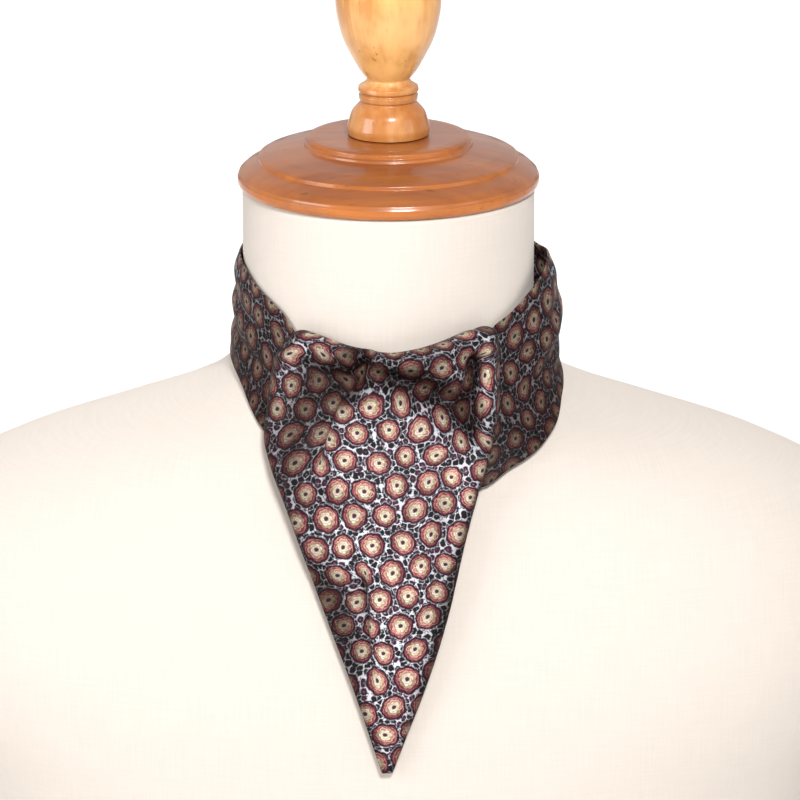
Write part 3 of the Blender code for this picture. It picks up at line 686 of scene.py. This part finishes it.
class CravatStudio(bpy.types.PropertyGroup):
    """The floor, the lamps and the camera"""

    floor: paint("Floor", "the floor", (0.86, 0.86, 0.86))
    key: amount("Key lamp", "Power of the main lamp", 40.0, unit="POWER")
    fill: amount("Fill lamp", "Power of the side lamps", 23.0, unit="POWER")
    back: amount("Floor lamp", "Power of the lamp over the floor behind", 36.0, unit="POWER")
    sky: amount("Room light", "Strength of the light from all sides", 0.14)
    wall: amount("Backdrop", "Brightness of the plain wall beyond the floor", 0.9)
    pitch: slant("Camera pitch", "How far the camera looks down", 17.0)
    distance: measure("Camera distance", "From the camera to what it looks at", 2000.0)
    lens: amount("Lens", "Focal length", 212.4, min=1.0, unit="CAMERA")


class CravatSettings(bpy.types.PropertyGroup):
    """Everything that a user would change"""

    cloth: PointerProperty(type=CravatCloth)
    design: PointerProperty(type=CravatPrint)
    form: PointerProperty(type=CravatForm)
    studio: PointerProperty(type=CravatStudio)


# ------ materials
def configured(thing, **settings):
    """Something of Blender's, with its settings made."""
    for name, value in settings.items():
        setattr(thing, name, value)
    return thing


def feed(socket, value):
    """Links a Socket, or sets a plain value, with an alpha added to a colour."""
    if isinstance(value, Socket):
        socket.id_data.links.new(value.output, socket)
    elif socket.type == "RGBA":
        socket.default_value = (*value, 1.0)
    else:
        socket.default_value = value


def node(tree, kind, sockets, output=0, **settings):
    """A node with its settings made, then its sockets fed, as the Socket of one output."""
    made = configured(tree.nodes.new("ShaderNode" + kind), **settings)
    for name, value in sockets.items():
        feed(made.inputs[name], value)
    return Socket(made.outputs[output])


def is_number(value):
    return value.output.type == "VALUE" if isinstance(value, Socket) else isinstance(value, (int, float))


def maths(operation, *values, output=0, **settings):
    """A Math node for numbers, or a Vector Math node where a vector or a colour is among them."""
    kind = "Math" if all(map(is_number, values)) else "VectorMath"
    first = next(value for value in values if isinstance(value, Socket))
    return first.node(kind, dict(enumerate(values)), output, operation=operation, **settings)


def step(operation):
    return lambda one, other: maths(operation, one, other)


def step_back(operation):
    return lambda one, other: maths(operation, other, one)


class Socket:
    """A shader socket that Python's arithmetic works on: each step adds its node."""

    __add__, __radd__ = step("ADD"), step_back("ADD")
    __sub__, __rsub__ = step("SUBTRACT"), step_back("SUBTRACT")
    __mul__, __rmul__ = step("MULTIPLY"), step_back("MULTIPLY")
    __truediv__, __lt__, __gt__ = step("DIVIDE"), step("LESS_THAN"), step("GREATER_THAN")

    def __init__(self, output):
        self.output = output

    def node(self, *what, **settings):
        return node(self.output.id_data, *what, **settings)

    def also(self, name):
        """Another output of the same node."""
        return Socket(self.output.node.outputs[name])

    def apart(self):
        """The three numbers of a vector."""
        first = self.node("SeparateXYZ", {0: self})
        return first, first.also("Y"), first.also("Z")

    def tint(self, low, high):
        """A colour mixed from two others, with this as the share of the second."""
        return self.node("Mix", {0: self, 6: low, 7: high}, 2, data_type="RGBA")

    def choose(self, low, high):
        """A vector mixed from two others, with this as the share of the second."""
        return self.node("Mix", {0: self, 4: low, 5: high}, 1, data_type="VECTOR")

    def within(self, limit, softness):
        """1 where this is under a limit, 0 over it, with a soft edge."""
        return maths("ADD", (limit - self) / softness, 0.5, use_clamp=True)

    def noise(self, scale, detail=2.0, distortion=0.0, output="Fac"):
        sockets = {"Vector": self, "Scale": scale, "Detail": detail, "Distortion": distortion}
        return self.node("TexNoise", sockets, output)

    def mottle(self, scale, contrast=3.0):
        """Patches of 0 and 1 that run softly into each other."""
        return maths("ADD", (self.noise(scale, 1.0) - 0.5) * contrast, 0.5, use_clamp=True)

    def cells(self, scale, randomness, **settings):
        """How far each place is from the middle of its cell, among flat scattered cells."""
        sockets = {"Vector": self, "Scale": scale, "Randomness": randomness}
        return self.node("TexVoronoi", sockets, "Distance", voronoi_dimensions="2D", **settings)


class Finish:
    """A material under construction, with the Principled shader that its nodes feed."""

    def __init__(self, name, **values):
        self.material = bpy.data.materials.new(name)
        self.material.use_nodes = True
        self.tree = self.material.node_tree
        self.feed(**values)

    def feed(self, **values):
        """Feeds the shader's sockets, with _ for each space in a name."""
        for name, value in values.items():
            feed(self.tree.nodes["Principled BSDF"].inputs[name.replace("_", " ")], value)

    def source(self, kind, output=0, **settings):
        """Something that the shader reads of the piece."""
        return node(self.tree, kind, {}, output, **settings)

    def cloth_place(self, turned=0.0):
        """The piece's own cloth map in millimetres, for a pattern turned anticlockwise on it."""
        where = self.source("UVMap", uv_map="cloth")
        sockets = {"Vector": where, "Rotation": (0.0, 0.0, -turned), "Scale": (1 / MM,) * 3}
        return where.node("Mapping", sockets)

    def bump(self, height, strength):
        """Feeds a height in millimetres to the shader's normal."""
        self.feed(Normal=height.node("Bump", {"Strength": strength, "Distance": MM, "Height": height}))


def times(colour, factor):
    return tuple(min(channel * factor, 1.0) for channel in colour)


def rosette_places(where, design):
    """The place in its rosette of each point, in millimetres, and a chance colour of that rosette."""
    cell = (design.across / MM, design.down / MM, 1.0)
    jitter = design.jitter / MM
    found = []
    for shift in (0.0, 0.5):
        lattice = where / cell + (shift + 0.5, shift + 0.5, 0.0)
        number = maths("FLOOR", lattice)
        seed = number + (shift * 91.0, shift * 37.0, 0.0)
        chance = seed.node("TexWhiteNoise", {"Vector": seed}, "Color", noise_dimensions="2D")
        moved = (chance - HALF) * (jitter, jitter, 0.0)
        found.append(((lattice - number - (0.5, 0.5, 0.0)) * cell - moved, chance))
    (one, one_chance), (other, other_chance) = found
    nearer = maths("LENGTH", other, output=1) < maths("LENGTH", one, output=1)
    return nearer.choose(one, other), nearer.choose(one_chance, other_chance)


def ground_colour(where, design):
    """The ground: rounded dark leaves close together on pale silk, with small curls between them."""
    scale = MM / design.sprig
    cells = where.cells(scale, 0.85)
    edges = where.cells(scale, 0.85, feature="DISTANCE_TO_EDGE")
    curls = where.cells(scale * 1.25, 1.0)
    kind, size, _ = cells.also("Color").apart()
    ragged = (where.noise(1.0, 1.0) - 0.5) * 0.42
    leaf = (cells + ragged).within(0.53 + size * 0.1, 0.12)
    leaf = leaf * (1 - edges.within(0.05 + size * 0.04, 0.08) * where.mottle(0.45, 4.0))
    heart = cells.within(0.15, 0.1) * (kind < 0.45)
    curl = maths("ABSOLUTE", curls - 0.3).within(0.085, 0.07) * (where.noise(0.7, 0.0) > 0.46)
    pale = where.noise(0.1).tint(design.ground, design.ground_warm)
    dark = (kind < 0.35).tint(design.leaf, design.berry)
    colour = leaf.tint((curl * 0.85).tint(pale, design.leaf), dark)
    return (heart * where.mottle(1.0)).tint(colour, design.heart)


def rosette_colour(local, chance, colour, design):
    """The rosettes over the ground, ring by ring from the outside in, in shares of their radius."""
    first, second, third = chance.apart()
    x, y, _ = (local + (local.noise(0.6, 1.0, output="Color") - HALF)).apart()
    size = design.rosette / MM * (0.92 + first * 0.16)
    radius = maths("SQRT", x * x + y * y) / size
    angle = maths("ARCTAN2", y, x)
    phase = third * math.tau

    def petals(count, depth, turned):
        """A place's distance from the middle, as a flower with this many petals counts it."""
        between = 1.0 - maths("ABSOLUTE", maths("SINE", angle * (count / 2) + phase * turned))
        return radius + between * depth

    def ring(shape, middle, half_width, softness=0.04):
        return maths("ABSOLUTE", shape - middle).within(half_width, softness)

    outer, inner, heart = petals(7, 0.09, 1.0), petals(9, 0.08, 2.0), petals(6, 0.09, 3.0)
    lit = maths("SINE", angle + phase) * 0.5 + 0.5
    coarse = local.mottle(0.9)
    rounds = maths("FLOOR", inner * 8.5 + local.noise(0.7, 0.0))
    arcs = x.node("CombineXYZ", {0: x, 1: y, 2: rounds * 4.7})
    broken, finer = arcs.mottle(0.55, 5.0), arcs.mottle(1.1, 4.0)
    disc = (inner + finer * 0.1).within(0.66, 0.05)
    across = x - maths("COSINE", phase) * size * 0.46
    down = y - maths("SINE", phase) * size * 0.46
    loop = maths("SQRT", across * across + down * down * 2.0)
    petal = (lit * 0.45 + broken * 0.55 * finer).tint(design.petal, design.petal_edge)
    middle = (broken * 0.45 + finer * 0.25).tint(design.ring, design.ring_edge)
    centre = ((1 - broken) * 0.75 + (1 - finer) * 0.35).tint(design.centre, design.ring_edge)
    for share, over in (
        (outer.within(1.1, 0.06) * coarse * 0.6, design.ground),
        (outer.within(1.02, 0.06), design.outline),
        ((outer + finer * 0.1).within(0.905, 0.1), petal),
        (ring(petals(5, 0.1, 4.0), 0.79, 0.022) * finer * (0.25 + lit * 0.75), design.blush),
        (ring(inner, 0.68, 0.02) * coarse * 0.8, design.outline),
        (disc, middle),
        (disc * lit * (1 - coarse) * 0.5, design.blush),
        (ring(inner, 0.61, 0.03) * (1 - broken) * (0.3 + lit * 0.7), design.blush),
        (ring(heart, 0.50, 0.03) * coarse * (0.3 + second * 0.5), design.petal),
        (heart.within(0.43, 0.08), centre),
        (ring(radius, 0.30, 0.035) * finer * 0.8, design.ring),
        (ring(loop, 1.4, 0.16, 0.2) * radius.within(0.84, 0.05) * (0.3 + coarse * 0.5), design.loop),
        (radius.within(0.17, 0.09), design.dot),
    ):
        colour = share.tint(colour, over)
    return colour


def silk_finish(name, design, turned=0.0):
    """Printed silk twill with a soft sheen, its rows of rosettes turned on the piece's map."""
    finish = Finish(name, Specular_IOR_Level=0.09)
    where = finish.cloth_place(turned)
    print_place = where + (where.noise(0.045, 1.0, output="Color") - HALF) * (WANDER, WANDER, 0.0)
    local, chance = rosette_places(print_place, design)
    colour = rosette_colour(local, chance, ground_colour(print_place, design), design)
    along, aside, _ = where.apart()
    twill = maths("SINE", (along + aside) * (math.tau / TWILL))
    thread = (where * (0.4, 3.0, 1.0)).noise(1.0, 1.0)
    # shade painted into the colour: the shade attribute darkens it towards a darker copy, and the uneven
    # threads darken it a little more
    shade = finish.source("Attribute", "Fac", attribute_name="shade")
    share = thread * 0.08 + shade * design.deepest
    finish.feed(Base_Color=share.tint(colour, colour * design.deep), Roughness=0.46 + thread * 0.14)
    finish.bump(twill * 0.03 + thread * 0.03, 0.35)
    return finish.material


def thread_finish(colour):
    """Twisted silk thread."""
    finish = Finish("sewing thread", Roughness=0.5, Specular_IOR_Level=0.3)
    twist = finish.source("TexCoord", "Object").noise(1800.0, 1.0)
    finish.feed(Base_Color=twist.tint(colour, times(colour, 2.0)))
    finish.bump(twist * 0.05, 0.4)
    return finish.material


def linen_finish(form):
    """Plain woven linen with uneven threads."""
    finish = Finish("linen cover", Roughness=0.88, Specular_IOR_Level=0.2)
    finish.feed(Sheen_Weight=0.12, Sheen_Roughness=0.6)
    where = finish.cloth_place()
    each_thread = math.tau / (form.linen_thread / MM)
    wander = where.noise(0.35) * 1.6
    slubs = [(where * long).noise(1.0) for long in ((1.7, 0.05, 1.0), (0.05, 1.7, 1.0))]
    warp, weft = (
        maths("SINE", place * each_thread + wander * slub) for place, slub in zip(where.apart(), slubs)
    )
    weave, uneven = warp * weft, slubs[0] + slubs[1]
    share = maths("ADD", uneven * 0.6 - 0.1, weave * 0.16, use_clamp=True)
    finish.feed(Base_Color=share.tint(times(form.linen, 0.9), times(form.linen, 1.06)))
    finish.bump(weave * 0.06 + uneven * 0.12, 0.5)
    return finish.material


def wood_finish(form, turning):
    """Varnished wood, darker on top than on its turned sides and richer in colour below a height.
    Its grain is long in one direction, and its figure makes it blotchy."""
    light, dark, edge = (getattr(form, f"{turning.part}_{tone}") for tone in ("light", "dark", "edge"))
    finish = Finish(f"{turning.part} wood", Specular_IOR_Level=0.3)
    finish.feed(Coat_Weight=COAT, Coat_Roughness=turning.coat_roughness)
    place = finish.source("TexCoord", "Object")
    where = place * turning.grain
    fine = (where * (5.0, 5.0, 5.0)).noise(1.0, 3.0, 0.2)
    blotch = place.noise(34.0, 2.0, 0.8)
    pores = (where * (9.0, 9.0, 9.0)).noise(1.0, 1.0).within(0.27, 0.06)
    grain = (where.noise(1.0, 3.0, 0.6) - 0.5) * 2.4 + (fine - 0.5) * 1.1 + (blotch - 0.5) * turning.figure
    share = maths("ADD", grain, 0.5, use_clamp=True)
    _, _, up = finish.source("TexCoord", "Normal").apart()
    side = maths("ADD", 0.95 - up, 0.0, use_clamp=True)
    _, _, height = place.apart()
    richer = (height * (1 / MM)).within(turning.richer_below, 10.0)
    colour = (side * (0.45 + share * 0.35)).tint(share.tint(dark, light), edge)
    colour = (richer * (0.9 - share * 0.35)).tint(colour, dark)
    finish.feed(Base_Color=(pores * 0.5).tint(colour, times(dark, 0.45)), Roughness=0.28 + fine * 0.16)
    finish.bump(fine * 0.05 - pores * 0.05, 0.12)
    return finish.material


# ------ making meshes
def finished(name, shape):
    """A smooth mesh of a shape that is done with."""
    mesh = bpy.data.meshes.new(name)
    shape.to_mesh(mesh)
    shape.free()
    mesh.shade_smooth()
    return mesh


def linked(name, data):
    """An object in the scene, at the origin."""
    made = bpy.data.objects.new(name, data)
    bpy.context.scene.collection.objects.link(made)
    return made


def new_piece(name, mesh, material):
    mesh.materials.append(material)
    return linked(name, mesh)


def worn(piece, node_name=None):
    """A piece that rides the part's body, in place of its solid if it has one."""
    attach(piece, BODY)
    if node_name:
        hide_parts(node_name)
    return piece


def so_far(steps):
    """The running total of some steps, from 0."""
    total = np.cumsum(steps, axis=-1)
    return np.concatenate([np.zeros_like(total[..., :1]), total], axis=-1)


def lengths(points):
    """How far along its row each point lies."""
    return so_far(np.linalg.norm(np.diff(points, axis=-2), axis=-1))


def cloth_map(points):
    """Each point's place on the flat cloth in metres, from the lengths of its rows and middle column."""
    along = lengths(points)
    middle = points.shape[1] // 2
    down = lengths(points[:, middle])
    return np.stack([along - along[:, middle : middle + 1], 0 * along - down[:, None]], axis=-1)


def blade_map(points):
    """The front blade's places on the flat cloth, which hang from a plumb line right of its tuck."""
    face = points[OVER_ROWS:]
    along = lengths(face)
    plumb = [np.interp(PLUMB * MM, row[:, 0], length) for row, length in zip(face, along)]
    along -= np.array(plumb)[:, None]
    drops = NECK_TOP - face[..., 2] / MM
    levels = np.linspace(drops.min(), drops.max(), len(face))
    forward = form_front(0.0 * levels, levels) + read(FRONT_BLADE, levels)[2]
    down = np.interp(drops, levels, so_far(np.hypot(np.diff(levels), np.diff(forward)))) * MM
    over = points[OVER_ROWS::-1].swapaxes(0, 1)
    climb = lengths(over)[:, :0:-1].T
    down = np.concatenate([down[0] - climb, down])
    along = np.concatenate([np.repeat(along[:1], len(climb), axis=0), along])
    return np.stack([along, -down], axis=-1)


def grid_mesh(name, points, spots, shade):
    """A grid bent through rows of points, with the cloth's own map and its painted shade."""
    down, across = points.shape[:2]
    sheet = bmesh.new()
    bmesh.ops.create_grid(sheet, x_segments=across - 1, y_segments=down - 1, size=1.0)
    cloth = sheet.loops.layers.uv.new("cloth")
    # a float layer of the shade that is painted into the silk's colour
    depth = sheet.verts.layers.float.new("shade")
    address = {}
    for i, corner in enumerate(sheet.verts):  # the grid's rows run from its low edge up
        spot = (down - 1 - i // across, i % across)
        address[corner] = spot
        corner.co = points[spot]
        corner[depth] = shade[spot]
    for face in sheet.faces:
        for loop in face.loops:
            loop[cloth].uv = spots[address[loop.vert]]
    return finished(name, sheet)


def silk_piece(name, points, spots, shade, material, thickness):
    """A sewn stretch of the cravat: its grid, given two layers' thickness and a rounded edge."""
    piece = new_piece(name, grid_mesh(name, points, spots, shade), material)
    configured(piece.modifiers.new("two layers", "SOLIDIFY"), thickness=thickness, offset=0.0,
               use_quality_normals=True)
    configured(piece.modifiers.new("turned edge", "SUBSURF"), levels=1, render_levels=1)
    worn(piece, name.removeprefix("silk_"))
    cut = FLAT_CUTS[name]
    list(cut.rests_on)


def sewn_piece(name, lines, cloth, material):
    """Rows of separate stitches along some lines of points."""
    sewing = bmesh.new()
    shape = Matrix.Diagonal((cloth.thread / 2, cloth.thread / 2, cloth.stitch_length / 2, 1.0))
    for line in lines:
        along = lengths(line)
        last = along[-1] - cloth.stitch_length
        for begin in np.arange(cloth.stitch_gap, last, cloth.stitch_length + cloth.stitch_gap):
            one, other = (
                Vector([np.interp(at, along, line[:, axis]) for axis in range(3)])
                for at in (begin, begin + cloth.stitch_length)
            )
            turned = (other - one).to_track_quat("Z", "Y").to_matrix().to_4x4()
            spot = Matrix.Translation((one + other) / 2) @ turned @ shape
            bmesh.ops.create_uvsphere(sewing, u_segments=8, v_segments=6, radius=1.0, matrix=spot)
    return worn(new_piece(name, finished(name, sewing), material))


def rounded_outline(profile, base):
    """A turner's outline as points (radius, height), each corner rounded by its fillet."""
    outline = []
    for i, point in enumerate(profile):
        here = Vector((point.radius, point.height))
        if not point.fillet:
            outline.append(here)
            continue
        before = Vector(profile[i - 1][:2]) - here
        after = Vector(profile[i + 1][:2]) - here
        half = before.angle(after) / 2
        cut = min(point.fillet / math.tan(half), before.length * 0.49, after.length * 0.49)
        start, end = here + before.normalized() * cut, here + after.normalized() * cut
        for share in np.arange(FILLET_STEPS + 1) / FILLET_STEPS:
            outline.append(start * (1 - share) ** 2 + here * 2 * share * (1 - share) + end * share**2)
    return [Vector((spot.x, 0.0, spot.y + base)) * MM for spot in outline]


def closed_up(shape):
    """A shape with its seams joined and its faces all turned outwards."""
    bmesh.ops.remove_doubles(shape, verts=shape.verts, dist=SAME_PLACE)
    rims = [edge for edge in shape.edges if edge.is_boundary]
    bmesh.ops.holes_fill(shape, edges=rims, sides=0)
    bmesh.ops.recalc_face_normals(shape, faces=shape.faces)
    return shape


def turned_piece(turning, finish):
    """A turned piece spun from its outline round the neck's axis."""
    name = f"turned_{turning.part}"
    lathe = bmesh.new()
    corners = [lathe.verts.new(spot) for spot in rounded_outline(turning.profile, NECK_TOP)]
    for one, other in zip(corners, corners[1:]):
        lathe.edges.new((one, other))
    bmesh.ops.spin(lathe, geom=lathe.verts[:] + lathe.edges[:], cent=(0, 0, 0), axis=(0, 0, 1),
                   angle=math.tau, steps=turning.sides, use_merge=True, use_duplicate=False)
    piece = new_piece(name, finished(name, closed_up(lathe)), finish)
    worn(piece, turning.part)


# ------ operators
class CRAVAT_OT_stage(bpy.types.Operator):
    """Lay the floor, hang the lamps and set up the camera"""

    bl_idname = "cravat.stage"
    bl_label = "Studio"

    def execute(self, context):
        studio = context.scene.cravat.studio
        self.floor(studio.floor)
        for lamp in LAMPS:
            self.hang(lamp, getattr(studio, lamp.power) * lamp.share)
        self.room(context.scene, studio)
        self.camera(context.scene, studio)
        return {"FINISHED"}

    def floor(self, colour):
        ground = bmesh.new()
        bmesh.ops.create_grid(ground, x_segments=2, y_segments=2, size=FLOOR_SIZE)
        finish = Finish("studio floor", Roughness=0.7, Specular_IOR_Level=0.2)
        speckle = finish.source("TexCoord", "Object").noise(3.0)
        finish.feed(Base_Color=speckle.tint(times(colour, 0.985), colour))
        new_piece("studio_floor", finished("studio_floor", ground), finish.material)

    def hang(self, lamp, power):
        light = configured(bpy.data.lights.new(lamp.name, "AREA"), energy=power, size=lamp.size)
        aim = (Vector(lamp.target) - Vector(lamp.spot)).to_track_quat("-Z", "Y").to_euler()
        configured(linked(lamp.name, light), location=lamp.spot, rotation_euler=aim, visible_camera=False,
                   visible_glossy=lamp.mirrored)

    def room(self, scene, studio):
        """A soft light from all sides, which looks brighter to the camera and in reflections."""
        scene.world = bpy.data.worlds.new("room light")
        scene.world.use_nodes = True
        tree = scene.world.node_tree
        sky = node(tree, "Background", {"Color": (1.0, 1.0, 1.0), "Strength": studio.sky})
        wall = node(tree, "Background", {"Color": (0.8, 0.8, 0.8), "Strength": studio.wall})
        seen = node(tree, "LightPath", {}, "Is Camera Ray")
        bare = maths("MAXIMUM", seen, seen.also("Is Glossy Ray"))
        both = node(tree, "MixShader", {0: bare, 1: sky, 2: wall})
        feed(tree.nodes["World Output"].inputs["Surface"], both)
        scene.view_settings.view_transform = "Standard"

    def camera(self, scene, studio):
        pitch = studio.pitch
        away = Vector((0.0, -math.cos(pitch), math.sin(pitch))) * studio.distance
        view = configured(bpy.data.cameras.new("camera"), lens=studio.lens, clip_end=100.0)
        scene.camera = configured(linked("camera", view), location=Vector(CAMERA_TARGET) + away,
                                  rotation_euler=(math.pi / 2 - pitch, 0.0, 0.0))


class CRAVAT_OT_form(bpy.types.Operator):
    """Cover the neck, shoulders and chest with linen"""

    bl_idname = "cravat.form"
    bl_label = "Linen form"

    def execute(self, context):
        drops = np.linspace(0.0, NECK_TOP - HEM_RADIUS, FORM_RINGS + 1)[:, None]
        around = np.linspace(-np.pi, np.pi, FORM_SIDES + 1)[None, :]
        turn = np.linspace(0.0, np.pi / 2, FILLET_STEPS + 1)[1:, None]
        low = NECK_TOP - HEM_RADIUS * (1 - np.sin(turn))
        radius = form_radius(around, np.full_like(around, NECK_TOP)) - HEM_RADIUS * (1 - np.cos(turn))
        hem = place(radius * np.sin(around), radius * np.cos(around), low)
        points = np.concatenate([form_point(*np.broadcast_arrays(around, drops)), hem])
        shell = bmesh.new()
        shell.from_mesh(grid_mesh("linen_form", points, cloth_map(points), no_shade(points)))
        mesh = finished("linen_form", closed_up(shell))
        worn(new_piece("linen_form", mesh, linen_finish(context.scene.cravat.form)), "form_bust")
        return {"FINISHED"}


class CRAVAT_OT_wood(bpy.types.Operator):
    """Turn the varnished cap that closes the neck, and the finial that stands on it"""

    bl_idname = "cravat.wood"
    bl_label = "Cap and finial"

    def execute(self, context):
        for turning in TURNINGS:
            turned_piece(turning, wood_finish(context.scene.cravat.form, turning))
        return {"FINISHED"}


class CRAVAT_OT_neck_band(bpy.types.Operator):
    """Sew the pleated band that lies round the nape"""

    bl_idname = "cravat.neck_band"
    bl_label = "Neck band"

    def execute(self, context):
        cloth = context.scene.cravat.cloth
        silk = silk_finish("silk of the band", context.scene.cravat.design)
        points = stretch_points(NECK_BAND, (), cloth.pleat_rise / MM)
        lines = band_sewing(cloth.pleat_rise / MM, (cloth.thickness / 2 + cloth.thread / 4) / MM)
        sewing = sewn_piece("silk_band_sewing", lines, cloth, thread_finish(cloth.thread_colour))
        shade = pleat_shade(points)
        silk_piece("silk_neck_band", points, cloth_map(points), shade, silk, cloth.thickness)
        return {"FINISHED"}


class CRAVAT_OT_stretches(bpy.types.Operator):
    """Lay the left stretch round the neck and the right one over it"""

    bl_idname = "cravat.stretches"
    bl_label = "Side stretches"

    def execute(self, context):
        cloth = context.scene.cravat.cloth
        silk = silk_finish("silk of the stretches", context.scene.cravat.design)
        for name, rows, creases in (
            ("silk_left_stretch", LEFT_STRETCH, LEFT_CREASES),
            ("silk_right_stretch", RIGHT_STRETCH, RIGHT_CREASES),
        ):
            points = stretch_points(rows, creases, cloth.pleat_rise / MM)
            silk_piece(name, points, cloth_map(points), stretch_shade(points), silk, cloth.thickness)
        return {"FINISHED"}


class CRAVAT_OT_blades(bpy.types.Operator):
    """Let the left blade lie on the chest and fold the front blade over the top"""

    bl_idname = "cravat.blades"
    bl_label = "Blades"

    def execute(self, context):
        settings = context.scene.cravat
        silk = silk_finish("silk of the blades", settings.design, settings.design.tilt)
        for name, points, lay, shade in (
            ("silk_under_blade", under_blade_points(), cloth_map, no_shade),
            ("silk_front_blade", front_blade_points(), blade_map, blade_shade),
        ):
            silk_piece(name, points, lay(points), shade(points), silk, settings.cloth.thickness)
        return {"FINISHED"}


class CRAVAT_PT_panel(bpy.types.Panel):
    """Lists the pieces in the 3D view's sidebar"""

    bl_idname = "CRAVAT_PT_panel"
    bl_label = "Silk cravat"
    bl_space_type = "VIEW_3D"
    bl_region_type = "UI"
    bl_category = "Cravat"

    def draw(self, context):
        settings = context.scene.cravat
        for group in (settings.cloth, settings.design, settings.form, settings.studio):
            box = self.layout.box()
            for name in group.__annotations__:
                box.prop(group, name)
        for operator in OPERATORS:
            self.layout.operator(operator.bl_idname)


GROUPS = (CravatCloth, CravatPrint, CravatForm, CravatStudio, CravatSettings)
OPERATORS = (
    CRAVAT_OT_stage,
    CRAVAT_OT_form,
    CRAVAT_OT_wood,
    CRAVAT_OT_neck_band,
    CRAVAT_OT_stretches,
    CRAVAT_OT_blades,
)
CLASSES = (*GROUPS, *OPERATORS, CRAVAT_PT_panel)


def register():
    for part in CLASSES:
        bpy.utils.register_class(part)
    bpy.types.Scene.cravat = PointerProperty(type=CravatSettings)


def unregister():
    del bpy.types.Scene.cravat
    for part in reversed(CLASSES):
        bpy.utils.unregister_class(part)


def main():
    register()
    bpy.ops.cravat.stage()
    bpy.ops.cravat.form()
    bpy.ops.cravat.wood()
    bpy.ops.cravat.neck_band()
    bpy.ops.cravat.stretches()
    bpy.ops.cravat.blades()


if __name__ == "__main__":
    main()
